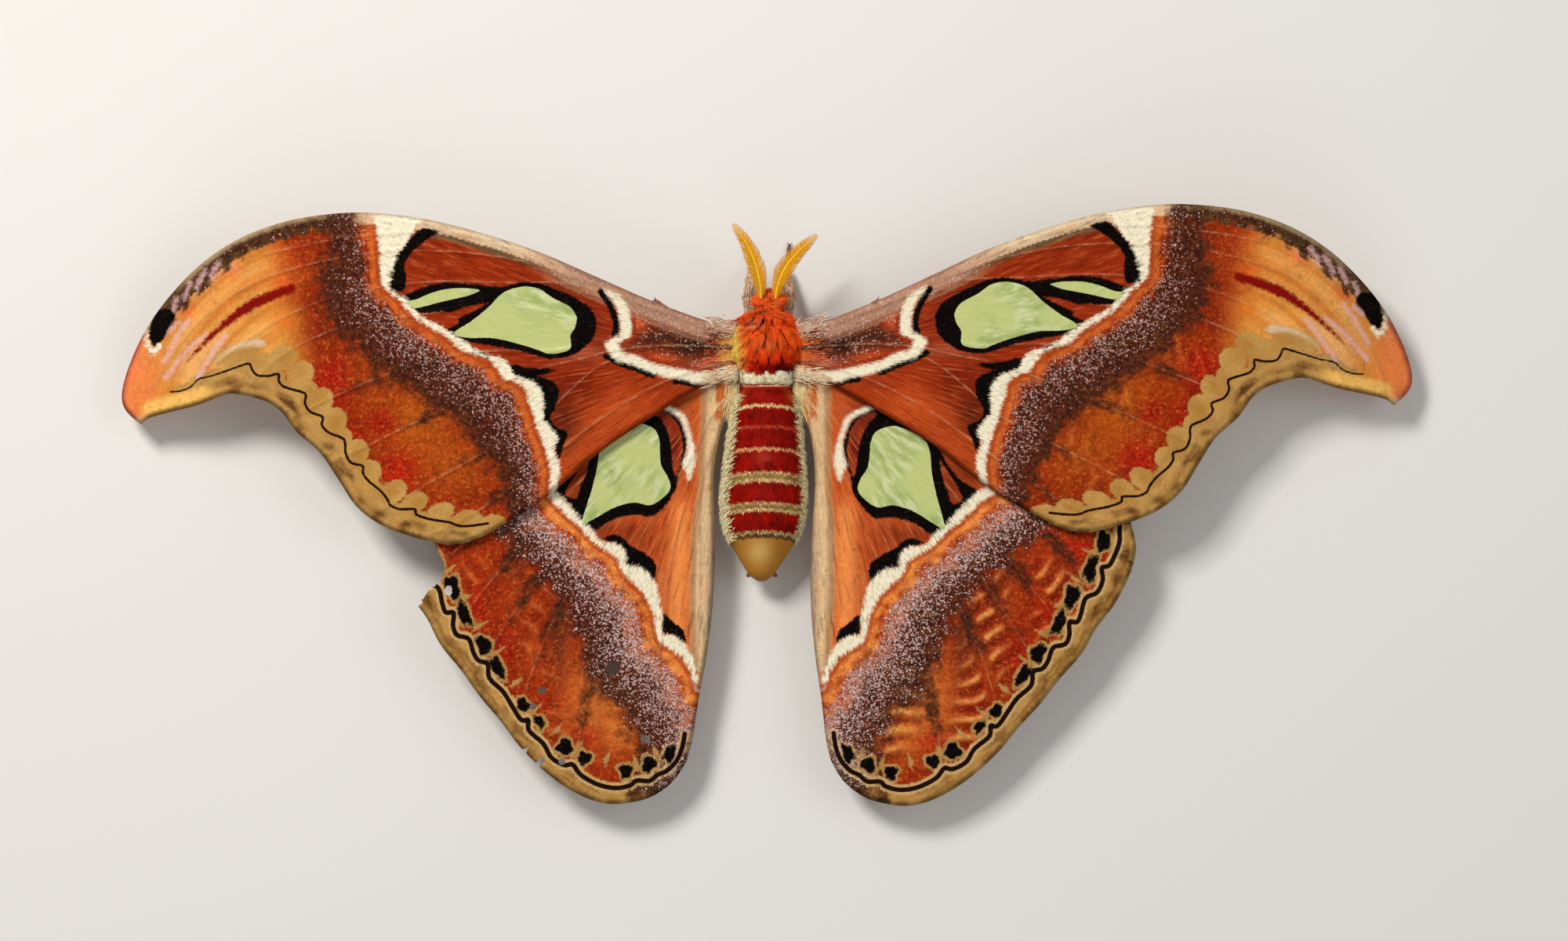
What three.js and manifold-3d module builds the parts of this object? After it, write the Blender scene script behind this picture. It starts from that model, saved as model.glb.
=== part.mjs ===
// An atlas moth, life size, with its wings spread flat, standing on six legs and its belly.
// Millimetres. +Z is up, +Y is the way the head points, +X is the moth's right.
// Each piece is drawn in the moth's own frame, and the whole is then set with the middle of
// its box over the origin and its feet at Z = 0.
import * as THREE from "three";
import { mergeVertices } from "three/addons/utils/BufferGeometryUtils.js";
import Module from "manifold-3d";

const wasm = await Module();
wasm.setup();

// Driving sizes
const gap = 0.3; // between pieces that touch
const grid = 0.004; // the fineness of all points
const bodyLean = 0.026; // how far the abdomen leans to the left, per mm behind the thorax
const thoraxMiddle = { x: 0, y: 28, z: 9.5 };
const thoraxHeight = 0.85; // of its width
const headMiddle = { x: 0.5, y: 36.9, z: 8.8 };
const headRadii = { x: 2.5, y: 2.6, z: 2.6 };
const eyeRadius = 1.2;
const eyeSide = 1.95; // from the head's middle to an eye's
const palp = { side: 0.75, ahead: 2.3, below: 1.2, radii: { x: 0.55, y: 1.1, z: 0.6 } };
const membrane = 0.5; // a wing's thickness between its veins
const ridgeWidth = 0.5; // from a vein's crest to its foot
const ridgeHeight = 0.42; // a vein's crest over the membrane at the wing's root
const ridgeUnder = 0.35; // the share of that height on the underside
const costaHeight = 0.3; // how far the leading edge is thickened, above and below
const hindWingDrop = 1.6; // the hind wing passes this far under the fore wing

// The wings' outlines and veins, from the root outwards, as seen from above on the right side.
const foreWing = {
  hinge: [8, 28],
  front: [
    [5, 31.8], [10, 33.3], [20, 37.2], [30, 41.8], [40, 46.4], [50, 50], [60, 52.8], [70, 54.3],
    [78, 54.3], [86, 53.2], [94, 50.6], [101, 46.6], [107, 41.4], [112, 35.6], [115.6, 29.4], [117.4, 24.2],
    [116.8, 21.1], [113.9, 18.4],
  ],
  outer: [
    [113.9, 18.4], [112, 19.6], [108, 20.5], [103, 21.5], [98, 23.1], [95.5, 23.2], [90.5, 21.8],
    [87.6, 19.8], [85, 16.2], [80.9, 12.4], [77.8, 7.6], [74.6, 2.6], [70, -0.9], [64, -3.2], [58.5, -4.6],
  ],
  hind: [
    [5, 24.6], [11, 22.4], [20, 17.4], [30, 11.3], [40, 3.6], [48, -1.2], [54, -4], [58.5, -4.6],
  ],
  veins: [
    {
      name: "radius",
      from: 0,
      path: [
        [5, 30.9], [20, 36], [30, 40.3], [38, 43.5], [46, 45.6], [56, 47.1], [68, 47.4], [78, 46.3],
        [88, 44], [97, 40], [105, 33.3], [110.3, 26.5], [112.4, 19.6],
      ],
    },
    {
      name: "first median",
      from: 0.16,
      path: [
        [5, 30.3], [18, 33.6], [27, 38.3], [35, 40.8], [46, 41.3], [58, 41.9], [68, 41.3], [78, 39.6],
        [87, 36.3], [95, 31.6], [102, 26], [104.5, 21.3],
      ],
    },
    {
      name: "second median",
      from: 0.42,
      path: [
        [5, 29.8], [18, 32], [30, 36], [40, 39.4], [48, 39.2], [57, 36.8], [66, 35.8], [75, 34.6],
        [84, 31.5], [91, 26.8], [94.5, 23.2],
      ],
    },
    {
      name: "third median",
      from: 0.3,
      path: [
        [5, 29.3], [18, 30.6], [27, 30.6], [34, 29.6], [40, 28.9], [47, 29.4], [56, 28.9], [66, 26.6],
        [77, 22.6], [86.5, 18.4],
      ],
    },
    {
      name: "first cubital",
      from: 0,
      path: [
        [5, 28.6], [18, 29.4], [27, 28.9], [33, 27.6], [40, 26.2], [46, 24.4], [56, 20.4], [66, 16.2],
        [74, 12.6], [79.7, 10.6],
      ],
    },
    {
      name: "second cubital",
      from: 0.3,
      path: [
        [5, 27.9], [18, 28.3], [26.5, 27.8], [31, 25.6], [36, 21.6], [40.6, 17.4], [48, 13.2], [58, 8.2],
        [67, 3.6], [72.6, 0.9],
      ],
    },
    {
      name: "anal",
      from: 0,
      path: [
        [5, 26.2], [12, 25.2], [20, 22.4], [30, 17], [38, 11.3], [46, 5.6], [54, 0.6], [61, -2.4], [65, -2.8],
      ],
    },
  ],
};
const hindWing = {
  hinge: [8, 23],
  front: [
    [4.5, 24.2], [12, 24.2], [24, 22.6], [38, 18.5], [50, 12.5], [59, 6.2], [64.2, 1.2], [66, -3.4],
  ],
  outer: [
    [66, -3.4], [66.8, -7.8], [65.5, -12.6], [62.8, -17.8], [59.6, -22], [57, -26.6], [53, -31.2],
    [49.6, -35.6], [45.6, -40], [42, -44.4], [37, -49], [31.5, -52.5], [26, -54.2], [20.5, -53.6],
    [17, -52.2], [13.8, -49.5], [11.7, -46],
  ],
  hind: [
    [4.5, 19.6], [7, 16.4], [8.4, 10.5], [8.8, 4], [8.3, -4], [8, -12], [8.2, -20], [9, -28], [10, -35],
    [10.8, -42], [11.7, -46],
  ],
  veins: [
    {
      name: "radial sector",
      from: 0,
      path: [
        [4.5, 23.6], [14, 22.4], [26, 18.4], [38, 12.5], [48, 6.2], [57, -1], [63, -7],
        [65.9, -11.4],
      ],
    },
    {
      name: "first median",
      from: 0.3,
      path: [
        [4.5, 23.2], [14, 20.8], [26, 15.5], [36, 8.6], [44, 1.8], [52, -6.4], [58, -13.6],
        [61.5, -19.6],
      ],
    },
    {
      name: "second median",
      from: 0.36,
      path: [
        [4.5, 22.8], [12, 19.6], [22, 14.2], [30, 7], [37, -1.2], [44, -9.6], [51, -18.5],
        [56.2, -27.4],
      ],
    },
    {
      name: "third median",
      from: 0.36,
      path: [
        [4.5, 22.4], [11, 18.2], [19, 12], [26, 4.2], [31.8, -3.6], [38, -11.6], [44.6, -21.4],
        [51.5, -33],
      ],
    },
    {
      name: "first cubital",
      from: 0.3,
      path: [
        [4.5, 22], [10, 17.5], [15, 9.6], [20, 1], [28, -7], [33.4, -15], [38.6, -26],
        [43.6, -42.4],
      ],
    },
    {
      name: "second cubital",
      from: 0,
      path: [
        [4.5, 21.6], [9, 17.6], [13, 9], [17.6, 1.4], [22.4, -8], [26, -19], [29.8, -33],
        [32.6, -51.8],
      ],
    },
    {
      name: "first anal",
      from: 0.2,
      path: [
        [4.5, 21.1], [8.5, 16.5], [11.8, 8], [14, 0], [16.2, -12], [17.4, -26], [19.4, -41],
        [21, -53.6],
      ],
    },
    {
      name: "second anal",
      from: 0,
      path: [
        [4.5, 20.5], [7.6, 16.5], [9.8, 10], [11.2, 2], [10.9, -8], [10.6, -18], [10.9, -28], [12.4, -38],
        [14.2, -49.6],
      ],
    },
  ],
};
// How each wing is held: turned about its hinge, and its chord drawn out a little.
const held = {
  right: { mirror: 1, fore: { turn: 0, chord: 1 }, hind: { turn: 0, chord: 1 } },
  left: { mirror: -1, fore: { turn: -1.8, chord: 1.02 }, hind: { turn: 2.3, chord: 1.005 } },
};
// The piece worn off the left hind wing's edge, seen from above, mirrored to the right side.
const wornEdge = [
  [72, 2], [61, -1], [57.6, -5.6], [58.9, -8.4], [57.6, -10.6], [56.8, -13], [57.6, -15.2], [59.8, -17.2],
  [61.6, -20], [64, -22.6], [72, -22],
];

// Half widths of the abdomen where each ring begins and ends, from front to back.
const abdomenRings = [
  [21.5, 4.4], [20.6, 5.5], [18.4, 6.15], [18, 5.85], [15, 6.65], [14.6, 6.4], [10.6, 7.25], [10.2, 7],
  [6.4, 7.75], [5.9, 7.4], [5, 7.5], [4.6, 7.9], [1, 8.1], [0.5, 7.7], [-0.2, 7.65], [-0.6, 7.95],
  [-4.4, 7.2], [-4.8, 6.8], [-5.5, 6.5], [-5.9, 6.55], [-8, 5.3], [-10, 4.1], [-12, 2.9], [-13.3, 1.6],
];
const abdomenTip = -13.8;
const abdomenHeight = 0.9; // of its width
const thoraxRings = [
  [21.8, 4.2], [22.2, 5.3], [24.2, 6.1], [24.7, 6], [26, 7], [28, 7.7], [30.2, 7.8], [32, 7.2],
  [33.4, 6.1], [33.8, 5.7], [34.8, 4.6], [35.5, 3.2], [35.8, 1.8],
];

// Each leg's joints on the right side: hip, knee, ankle, and the end of the foot, and how far
// the pair sits to the right of the middle.
const legs = {
  fore: {
    hip: [2.6, 32.4, 5.4], knee: [3.7, 38.0, 4.9], ankle: [3.0, 42.8, 1.7], toe: [3.7, 47.6, 0.45],
    femur: 1.15, tibia: 1.0, lean: 0.45,
  },
  mid: {
    hip: [3.2, 29.5, 4.6], knee: [11, 31.4, 7.4], ankle: [15.4, 34.2, 1.6], toe: [20.2, 37.6, 0.45],
    femur: 1.1, tibia: 0.95, lean: 0,
  },
  hind: {
    hip: [3.2, 26.2, 4.6], knee: [11, 21.8, 7.2], ankle: [15, 16.4, 1.6], toe: [19.4, 10.6, 0.45],
    femur: 1.15, tibia: 1.0, lean: 0,
  },
};
const footThickness = 0.45;
const clawLength = 0.9;

// Each antenna's midline, from the head to the tip.
const antennae = {
  right: [[1.7, 37.6, 10.9], [2.2, 40.2, 12.2], [3.5, 43.2, 13.1], [6.0, 46.2, 13.7], [9.2, 49, 14.1]],
  left: [[-0.9, 37.6, 10.9], [-1.1, 40.4, 12.2], [-2.0, 43.9, 13.1], [-3.6, 47.5, 13.7], [-6.0, 51, 14.1]],
};
const shaftRadius = 0.42;
const bladeHalfWidth = 1.5;
const barbsOnASide = 15;
const barbWidth = 0.52;
const barbThickness = 0.5;
const barbSweep = 0.45; // how far a barb leans to the tip, per mm of its reach

const ease = (low, high, x) => THREE.MathUtils.smoothstep(x, low, high);
const leanAt = (y) => -bodyLean * Math.max(0, 22 - y);

// Solids from meshes, and back. Points are kept on a fine grid, so none are too close to tell apart.
function solidOf(geometry) {
  const bare = geometry.clone();
  bare.deleteAttribute("normal");
  bare.deleteAttribute("uv");
  const corners = bare.attributes.position;
  corners.array.forEach((value, i) => {
    corners.array[i] = Math.round(value / grid) * grid;
  });
  const merged = mergeVertices(bare, grid / 10);
  const kept = [];
  const index = merged.index.array;
  for (let i = 0; i < index.length; i += 3) {
    const [a, b, c] = [index[i], index[i + 1], index[i + 2]];
    if (a !== b && b !== c && a !== c) kept.push(a, b, c);
  }
  const vertProperties = new Float32Array(merged.attributes.position.array);
  return new wasm.Manifold(
    new wasm.Mesh({ numProp: 3, vertProperties, triVerts: new Uint32Array(kept) }),
  );
}

const largestOf = (solid) => solid.decompose().reduce((a, b) => (a.volume() > b.volume() ? a : b));

function meshOf(solid) {
  const mesh = largestOf(solid).getMesh();
  return new THREE.BufferGeometry()
    .setAttribute("position", new THREE.BufferAttribute(new Float32Array(mesh.vertProperties), 3))
    .setIndex(new THREE.BufferAttribute(new Uint32Array(mesh.triVerts), 1));
}

const geometryOf = (solid) => meshOf(solidOf(meshOf(solid)));

const joined = (solids) => solids.reduce((whole, piece) => whole.add(piece));

function moveVertices(geometry, move) {
  const position = geometry.attributes.position;
  const point = new THREE.Vector3();
  for (let i = 0; i < position.count; i += 1) {
    point.fromBufferAttribute(position, i);
    move(point);
    position.setXYZ(i, point.x, point.y, point.z);
  }
  return geometry;
}

const aboveFloor = (point) => {
  point.z = Math.max(point.z, 0);
};

// After mirroring, each triangle is listed the other way round so that it still faces out.
function turnFaces(index) {
  for (let k = 0; k < index.length; k += 3) {
    [index[k + 1], index[k + 2]] = [index[k + 2], index[k + 1]];
  }
  return index;
}

// A body turned about the Y axis, from rings of [y, half width] listed from front to back.
function turnedBody(rings, ends, sides, grow) {
  const profile = [
    new THREE.Vector2(0, ends[1] - grow),
    ...rings.toReversed().map(([y, half]) => new THREE.Vector2(half + grow, y)),
    new THREE.Vector2(0, ends[0] + grow),
  ];
  return new THREE.LatheGeometry(profile, sides);
}

function abdomenGeometry(grow = 0) {
  const ends = [abdomenRings[0][0], abdomenTip];
  const geometry = turnedBody(abdomenRings, ends, 20, grow);
  return moveVertices(geometry, (p) => {
    p.x += leanAt(p.y);
    p.z = p.z * abdomenHeight + 6.8 + 0.12 * (p.y - 1) + 0.001 * Math.max(0, p.y - 8) ** 2;
    aboveFloor(p);
  });
}

function thoraxGeometry(grow = 0) {
  const ends = [thoraxRings[0][0], thoraxRings.at(-1)[0]].sort((a, b) => b - a);
  const geometry = turnedBody(thoraxRings.toReversed(), ends, 24, grow);
  return moveVertices(geometry, (p) => {
    const back = 1 - ease(22, 27, p.y);
    p.z = p.z * (thoraxHeight + 0.04 * back) + thoraxMiddle.z;
  });
}

function ball(middle, radii, across, around, grow = 0) {
  return new THREE.SphereGeometry(1, across, around)
    .rotateX(Math.PI / 2)
    .scale(radii.x + grow, radii.y + grow, radii.z + grow)
    .translate(middle.x, middle.y, middle.z);
}

// A round limb between two points, whose radius follows a profile of [share of its length, radius].
function limb(from, to, profile, sides) {
  const start = new THREE.Vector3(...from);
  const end = new THREE.Vector3(...to);
  const along = end.clone().sub(start);
  const length = along.length();
  const outline = profile.map(([share, radius]) => new THREE.Vector2(radius, share * length));
  const geometry = new THREE.LatheGeometry(outline, sides);
  geometry.applyQuaternion(
    new THREE.Quaternion().setFromUnitVectors(new THREE.Vector3(0, 1, 0), along.normalize()),
  );
  geometry.translate(...from);
  return solidOf(moveVertices(geometry, aboveFloor));
}

const thighProfile = [[-0.12, 0], [-0.06, 0.7], [0.15, 1], [0.6, 1.02], [0.98, 0.8], [1.08, 0]];
const shinProfile = [[-0.1, 0], [-0.04, 0.75], [0.3, 1], [0.75, 0.95], [0.97, 0.65], [1.05, 0]];
const footJoints = 4;
const thickened = (profile, radius) => profile.map(([share, r]) => [share, r * radius]);

function legSolid({ hip, knee, ankle, toe, femur, tibia }) {
  const thigh = limb(hip, knee, thickened(thighProfile, femur), 8);
  const shin = limb(knee, ankle, thickened(shinProfile, tibia), 8);
  const ankleOnFloor = [ankle[0], ankle[1], footThickness];
  const bumps = [[-0.12, 0], [-0.05, 0.62]];
  for (let i = 0; i < footJoints; i += 1) {
    const start = i / footJoints;
    bumps.push([start + 0.16 / footJoints, 0.5 - 0.02 * i], [start + 0.86 / footJoints, 0.64 - 0.03 * i]);
  }
  bumps.push([1.0, 0.42], [1.05, 0]);
  const foot = limb(ankleOnFloor, toe, bumps, 6);
  const stub = limb(ankle, ankleOnFloor, [[-0.1, 0], [0, 0.66], [0.9, 0.62], [1.1, 0]], 6);
  const ahead = new THREE.Vector3(...toe).sub(new THREE.Vector3(...ankleOnFloor)).normalize();
  const claws = [-1, 1].map((turn) => {
    const way = ahead.clone().applyAxisAngle(new THREE.Vector3(0, 0, 1), turn * 0.55);
    const root = new THREE.Vector3(...toe).addScaledVector(ahead, -0.25);
    const tip = root.clone().addScaledVector(way, clawLength + 0.25);
    tip.z = 0.22;
    return limb(root.toArray(), tip.toArray(), [[0, 0], [0.02, 0.3], [0.95, 0.16], [1, 0]], 5);
  });
  return joined([thigh, shin, stub, foot, ...claws]);
}

// The height of a wing's middle sheet over the floor, from where it is seen from above.
function sheetHeight(x, y) {
  const out = x - 8;
  const arch = 12.2 + 0.075 * out - 0.00078 * out * out;
  const tip = 0.009 * Math.max(0, out - 84) ** 2;
  const slope = 0.055 * (y - 28) - 0.0007 * Math.max(0, y - 34) ** 2;
  return arch - tip + slope;
}

const spline = (points) => new THREE.SplineCurve(points.map(([x, y]) => new THREE.Vector2(x, y)));

// Where along a curve it comes nearest to a point, as a share of its length.
function nearestShare(curve, [x, y]) {
  const steps = 400;
  let best = { share: 0, far: Infinity };
  for (let i = 0; i <= steps; i += 1) {
    const p = curve.getPointAt(i / steps);
    const far = Math.hypot(p.x - x, p.y - y);
    if (far < best.far) best = { share: i / steps, far };
  }
  return best.share;
}

const stations = 13; // across a wing from its root to its outer edge
const stationShare = (j) => 1 - (1 - j / (stations - 1)) ** 1.35;

// A wing as rows of points: the edges, and for each vein its crest and the feet beside it.
function wingRows(shape) {
  const outer = spline(shape.outer);
  const lines = [
    { curve: spline(shape.front), at: 0, edge: true, from: 0 },
    ...shape.veins.map(({ path, from }) => {
      const at = nearestShare(outer, path.at(-1));
      const end = outer.getPointAt(at);
      return { curve: spline([...path.slice(0, -1), [end.x, end.y]]), at, edge: false, from };
    }),
    { curve: spline(shape.hind), at: 1, edge: true, from: 0 },
  ];
  const rows = [];
  lines.slice(0, -1).forEach((line, k) => {
    const next = lines[k + 1];
    for (const place of ["crest", "foot", "middle", "nextFoot"]) {
      const row = [];
      for (let j = 0; j < stations; j += 1) {
        const v = stationShare(j);
        const a = line.curve.getPointAt(v);
        const b = next.curve.getPointAt(v);
        const foot = Math.min(ridgeWidth / a.distanceTo(b), 0.3);
        const share = { crest: 0, foot, middle: 0.5, nextFoot: 1 - foot }[place];
        const p = a.clone().lerp(b, share);
        const straight = line.curve.getPointAt(1).lerp(next.curve.getPointAt(1), share);
        const pull = outer.getPointAt(THREE.MathUtils.lerp(line.at, next.at, share)).sub(straight);
        p.addScaledVector(pull, v ** 8);
        const onCrest = place === "crest";
        row.push({ x: p.x, y: p.y, ridge: onCrest ? ridgeAt(line, v) : 0, costa: onCrest && k === 0 });
      }
      rows.push(row);
    }
  });
  const last = lines.at(-1);
  rows.push(
    Array.from({ length: stations }, (_, j) => {
      const p = last.curve.getPointAt(stationShare(j));
      return { x: p.x, y: p.y, ridge: 0, costa: false };
    }),
  );
  return rows;
}

function ridgeAt(line, v) {
  return line.edge ? 0 : ridgeHeight * (1 - 0.55 * v) * ease(line.from - 0.02, line.from + 0.06, v);
}

function wingGeometry(shape, { mirror }, { turn, chord }, drop) {
  const rows = wingRows(shape);
  const [hx, hy] = shape.hinge;
  const angle = THREE.MathUtils.degToRad(turn);
  const width = rows.length;
  const positions = [];
  for (const over of [1, -1]) {
    for (const row of rows) {
      for (const { x, y, ridge, costa } of row) {
        const p = new THREE.Vector2(x - hx, (y - hy) * chord).rotateAround(new THREE.Vector2(), angle);
        const raised = over > 0 ? ridge : ridge * ridgeUnder;
        const half = membrane / 2 + raised + (costa ? costaHeight : 0);
        const z = sheetHeight(p.x + hx, p.y + hy) - drop + over * half;
        positions.push(mirror * (p.x + hx), p.y + hy, z);
      }
    }
  }
  const at = (over, i, j) => (over * width + i) * stations + j;
  const index = [];
  const quad = (a, b, c, d) => index.push(a, b, c, a, c, d);
  for (let i = 0; i < width - 1; i += 1) {
    for (let j = 0; j < stations - 1; j += 1) {
      quad(at(0, i, j), at(0, i + 1, j), at(0, i + 1, j + 1), at(0, i, j + 1));
      const [a, b, c, d] = [at(1, i, j), at(1, i + 1, j), at(1, i + 1, j + 1), at(1, i, j + 1)];
      index.push(a, c, b, a, d, c);
    }
    quad(at(0, i + 1, 0), at(0, i, 0), at(1, i, 0), at(1, i + 1, 0));
    const j = stations - 1;
    quad(at(0, i, j), at(0, i + 1, j), at(1, i + 1, j), at(1, i, j));
  }
  for (let j = 0; j < stations - 1; j += 1) {
    quad(at(0, 0, j), at(0, 0, j + 1), at(1, 0, j + 1), at(1, 0, j));
    const i = width - 1;
    quad(at(0, i, j + 1), at(0, i, j), at(1, i, j), at(1, i, j + 1));
  }
  if (mirror < 0) turnFaces(index);
  return new THREE.BufferGeometry()
    .setAttribute("position", new THREE.BufferAttribute(new Float32Array(positions), 3))
    .setIndex(index);
}

function wornPiece() {
  const outline = new THREE.Shape(wornEdge.map(([x, y]) => new THREE.Vector2(x, y)));
  const depth = 30;
  const geometry = new THREE.ExtrudeGeometry(outline, { depth, bevelEnabled: false });
  geometry.scale(-1, 1, 1);
  return solidOf(geometry.setIndex(turnFaces([...Array(geometry.attributes.position.count).keys()])));
}

// An antenna: a comb of barbs cut out of a thin leaf, bent along its midline.
function antennaSolid(points) {
  const curve = new THREE.CatmullRomCurve3(points.map((p) => new THREE.Vector3(...p)));
  const length = curve.getLength();
  const half = [];
  for (let i = 0; i < barbsOnASide; i += 1) {
    const share = 0.1 + (0.84 * i) / (barbsOnASide - 1);
    const y = share * length;
    const root = shaftRadius * (1 - 0.45 * share);
    const reach = bladeHalfWidth * Math.min(1, 0.1 + 2.3 * share) * (1 - share) ** 0.5 + root;
    const sweep = barbSweep * (reach - root);
    half.push([root, y - barbWidth / 2], [reach, y + sweep - barbWidth * 0.3]);
    half.push([reach, y + sweep + barbWidth * 0.3], [root, y + barbWidth / 2]);
  }
  half.unshift([shaftRadius, 0]);
  half.push([0.15, length]);
  const outline = [...half, ...half.toReversed().map(([x, y]) => [-x, y])];
  const leaf = new THREE.ExtrudeGeometry(
    new THREE.Shape(outline.map(([x, y]) => new THREE.Vector2(x, y))),
    { depth: barbThickness, bevelEnabled: false },
  );
  leaf.translate(0, 0, -barbThickness / 2);
  moveVertices(leaf, (p) => {
    const share = THREE.MathUtils.clamp(p.y / length, 0, 1);
    const way = curve.getTangentAt(share);
    const side = new THREE.Vector3().crossVectors(way, new THREE.Vector3(0, 0, 1)).normalize();
    const over = new THREE.Vector3().crossVectors(side, way);
    const thicker = Math.abs(p.x) > shaftRadius + 0.01 ? 1 : 1.5;
    const ahead = p.y - share * length;
    const at = curve.getPointAt(share).addScaledVector(way, ahead);
    p.copy(at.addScaledVector(side, p.x).addScaledVector(over, p.z * thicker));
  });
  return solidOf(leaf);
}

const thoraxGrown = solidOf(thoraxGeometry(gap));
const abdomenGrown = solidOf(abdomenGeometry(gap));
function headSolid(grow) {
  const palps = [-1, 1].map((side) => {
    const middle = {
      x: headMiddle.x + side * palp.side,
      y: headMiddle.y + palp.ahead,
      z: headMiddle.z - palp.below,
    };
    return solidOf(ball(middle, palp.radii, 10, 8, grow));
  });
  return joined([solidOf(ball(headMiddle, headRadii, 16, 12, grow)), ...palps]);
}

const headGrown = headSolid(gap);

const finishes = {
  redFur: { color: 0xb8441c, roughness: 0.95 },
  ringedRed: { color: 0x8c2a14, roughness: 0.8 },
  eye: { color: 0x1a0d08, roughness: 0.25 },
  antenna: { color: 0xe0981c, roughness: 0.8 },
  foreWing: { color: 0xa8481e, roughness: 0.85 },
  hindWing: { color: 0xa04018, roughness: 0.85 },
  leg: { color: 0xc08a6c, roughness: 0.95 },
};
const moth = new THREE.Group();

function add(name, solid, finish) {
  const material = new THREE.MeshStandardMaterial({ metalness: 0, ...finishes[finish] });
  const mesh = new THREE.Mesh(geometryOf(solid), material);
  mesh.name = name;
  moth.add(mesh);
}

add("thorax", solidOf(thoraxGeometry()), "redFur");
add("abdomen", solidOf(abdomenGeometry()).subtract(thoraxGrown), "ringedRed");
add("head", headSolid(0).subtract(thoraxGrown), "redFur");

for (const [side, mirror] of [["left", -1], ["right", 1]]) {
  const eyeMiddle = { x: headMiddle.x + mirror * eyeSide, y: headMiddle.y + 0.5, z: headMiddle.z - 0.5 };
  const eyeRadii = { x: eyeRadius, y: eyeRadius, z: eyeRadius };
  add(`eye_${side}`, solidOf(ball(eyeMiddle, eyeRadii, 12, 10)).subtract(headGrown), "eye");
  add(`antenna_${side}`, antennaSolid(antennae[side]).subtract(headGrown), "antenna");
  const fore = solidOf(wingGeometry(foreWing, held[side], held[side].fore, 0));
  add(`forewing_${side}`, fore.subtract(thoraxGrown), "foreWing");
  let hind = solidOf(wingGeometry(hindWing, held[side], held[side].hind, hindWingDrop));
  if (side === "left") hind = hind.subtract(wornPiece());
  add(`hindwing_${side}`, hind.subtract(thoraxGrown).subtract(abdomenGrown), "hindWing");
  for (const [pair, joints] of Object.entries(legs)) {
    const onSide = Object.fromEntries(
      Object.entries(joints).map(([key, p]) => [
        key,
        Array.isArray(p) ? [mirror * p[0] + joints.lean, p[1], p[2]] : p,
      ]),
    );
    add(`${pair}leg_${side}`, legSolid(onSide).subtract(thoraxGrown).subtract(headGrown), "leg");
  }
}

// The middle of the box goes over the origin, and the lowest point to the floor.
const box = new THREE.Box3().setFromObject(moth);
const middle = box.getCenter(new THREE.Vector3());
moth.position.set(-middle.x, -middle.y, -box.min.z);

const part = new THREE.Group();
part.add(moth);
export default part;
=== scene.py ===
import math

import bpy
import numpy as np
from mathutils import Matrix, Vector, geometry


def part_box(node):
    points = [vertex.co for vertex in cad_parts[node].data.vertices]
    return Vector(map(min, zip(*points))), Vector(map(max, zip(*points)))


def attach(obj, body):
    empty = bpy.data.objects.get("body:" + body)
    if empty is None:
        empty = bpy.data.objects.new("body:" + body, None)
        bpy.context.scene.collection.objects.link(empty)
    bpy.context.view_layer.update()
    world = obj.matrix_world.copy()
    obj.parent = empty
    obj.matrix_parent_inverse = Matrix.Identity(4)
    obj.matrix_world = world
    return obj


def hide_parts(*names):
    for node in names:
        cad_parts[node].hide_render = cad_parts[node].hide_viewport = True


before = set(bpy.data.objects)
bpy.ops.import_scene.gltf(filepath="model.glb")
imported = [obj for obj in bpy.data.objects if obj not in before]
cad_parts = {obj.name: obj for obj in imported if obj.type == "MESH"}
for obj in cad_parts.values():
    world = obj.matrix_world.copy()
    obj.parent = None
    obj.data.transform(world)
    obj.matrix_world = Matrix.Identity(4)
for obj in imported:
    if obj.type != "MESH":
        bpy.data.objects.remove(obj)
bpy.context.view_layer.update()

scene = bpy.context.scene
mm = 0.001
# The part is centred on its box. The head's left side and the abdomen's tip, drawn here, show by how much.
drawn = {"headLeft": -2.0, "abdomenTip": -13.8}
shift = np.array([
    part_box("head")[0][0] / mm - drawn["headLeft"],
    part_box("abdomen")[0][1] / mm - drawn["abdomenTip"],
])

# The camera looks straight down on the moth, as the photo does.
view = {"centre": (3.2, 6.6), "width": 283.4, "height": 10.0, "lens": 100.0, "sensor": 36.0}
camera = bpy.data.objects.new("camera", bpy.data.cameras.new("camera"))
scene.collection.objects.link(camera)
camera.data.lens = view["lens"]
camera.data.sensor_width = view["sensor"]
camera.data.clip_start = 0.01
camera.location = (
    (view["centre"][0] + shift[0]) * mm,
    (view["centre"][1] + shift[1]) * mm,
    (view["height"] + view["width"] * view["lens"] / view["sensor"]) * mm,
)
scene.camera = camera


def linear(color):
    c = np.asarray(color, float) / 255
    return np.where(c <= 0.04045, c / 12.92, ((c + 0.055) / 1.055) ** 2.4)


def rgba(color):
    return (*linear(color), 1.0)


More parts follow.
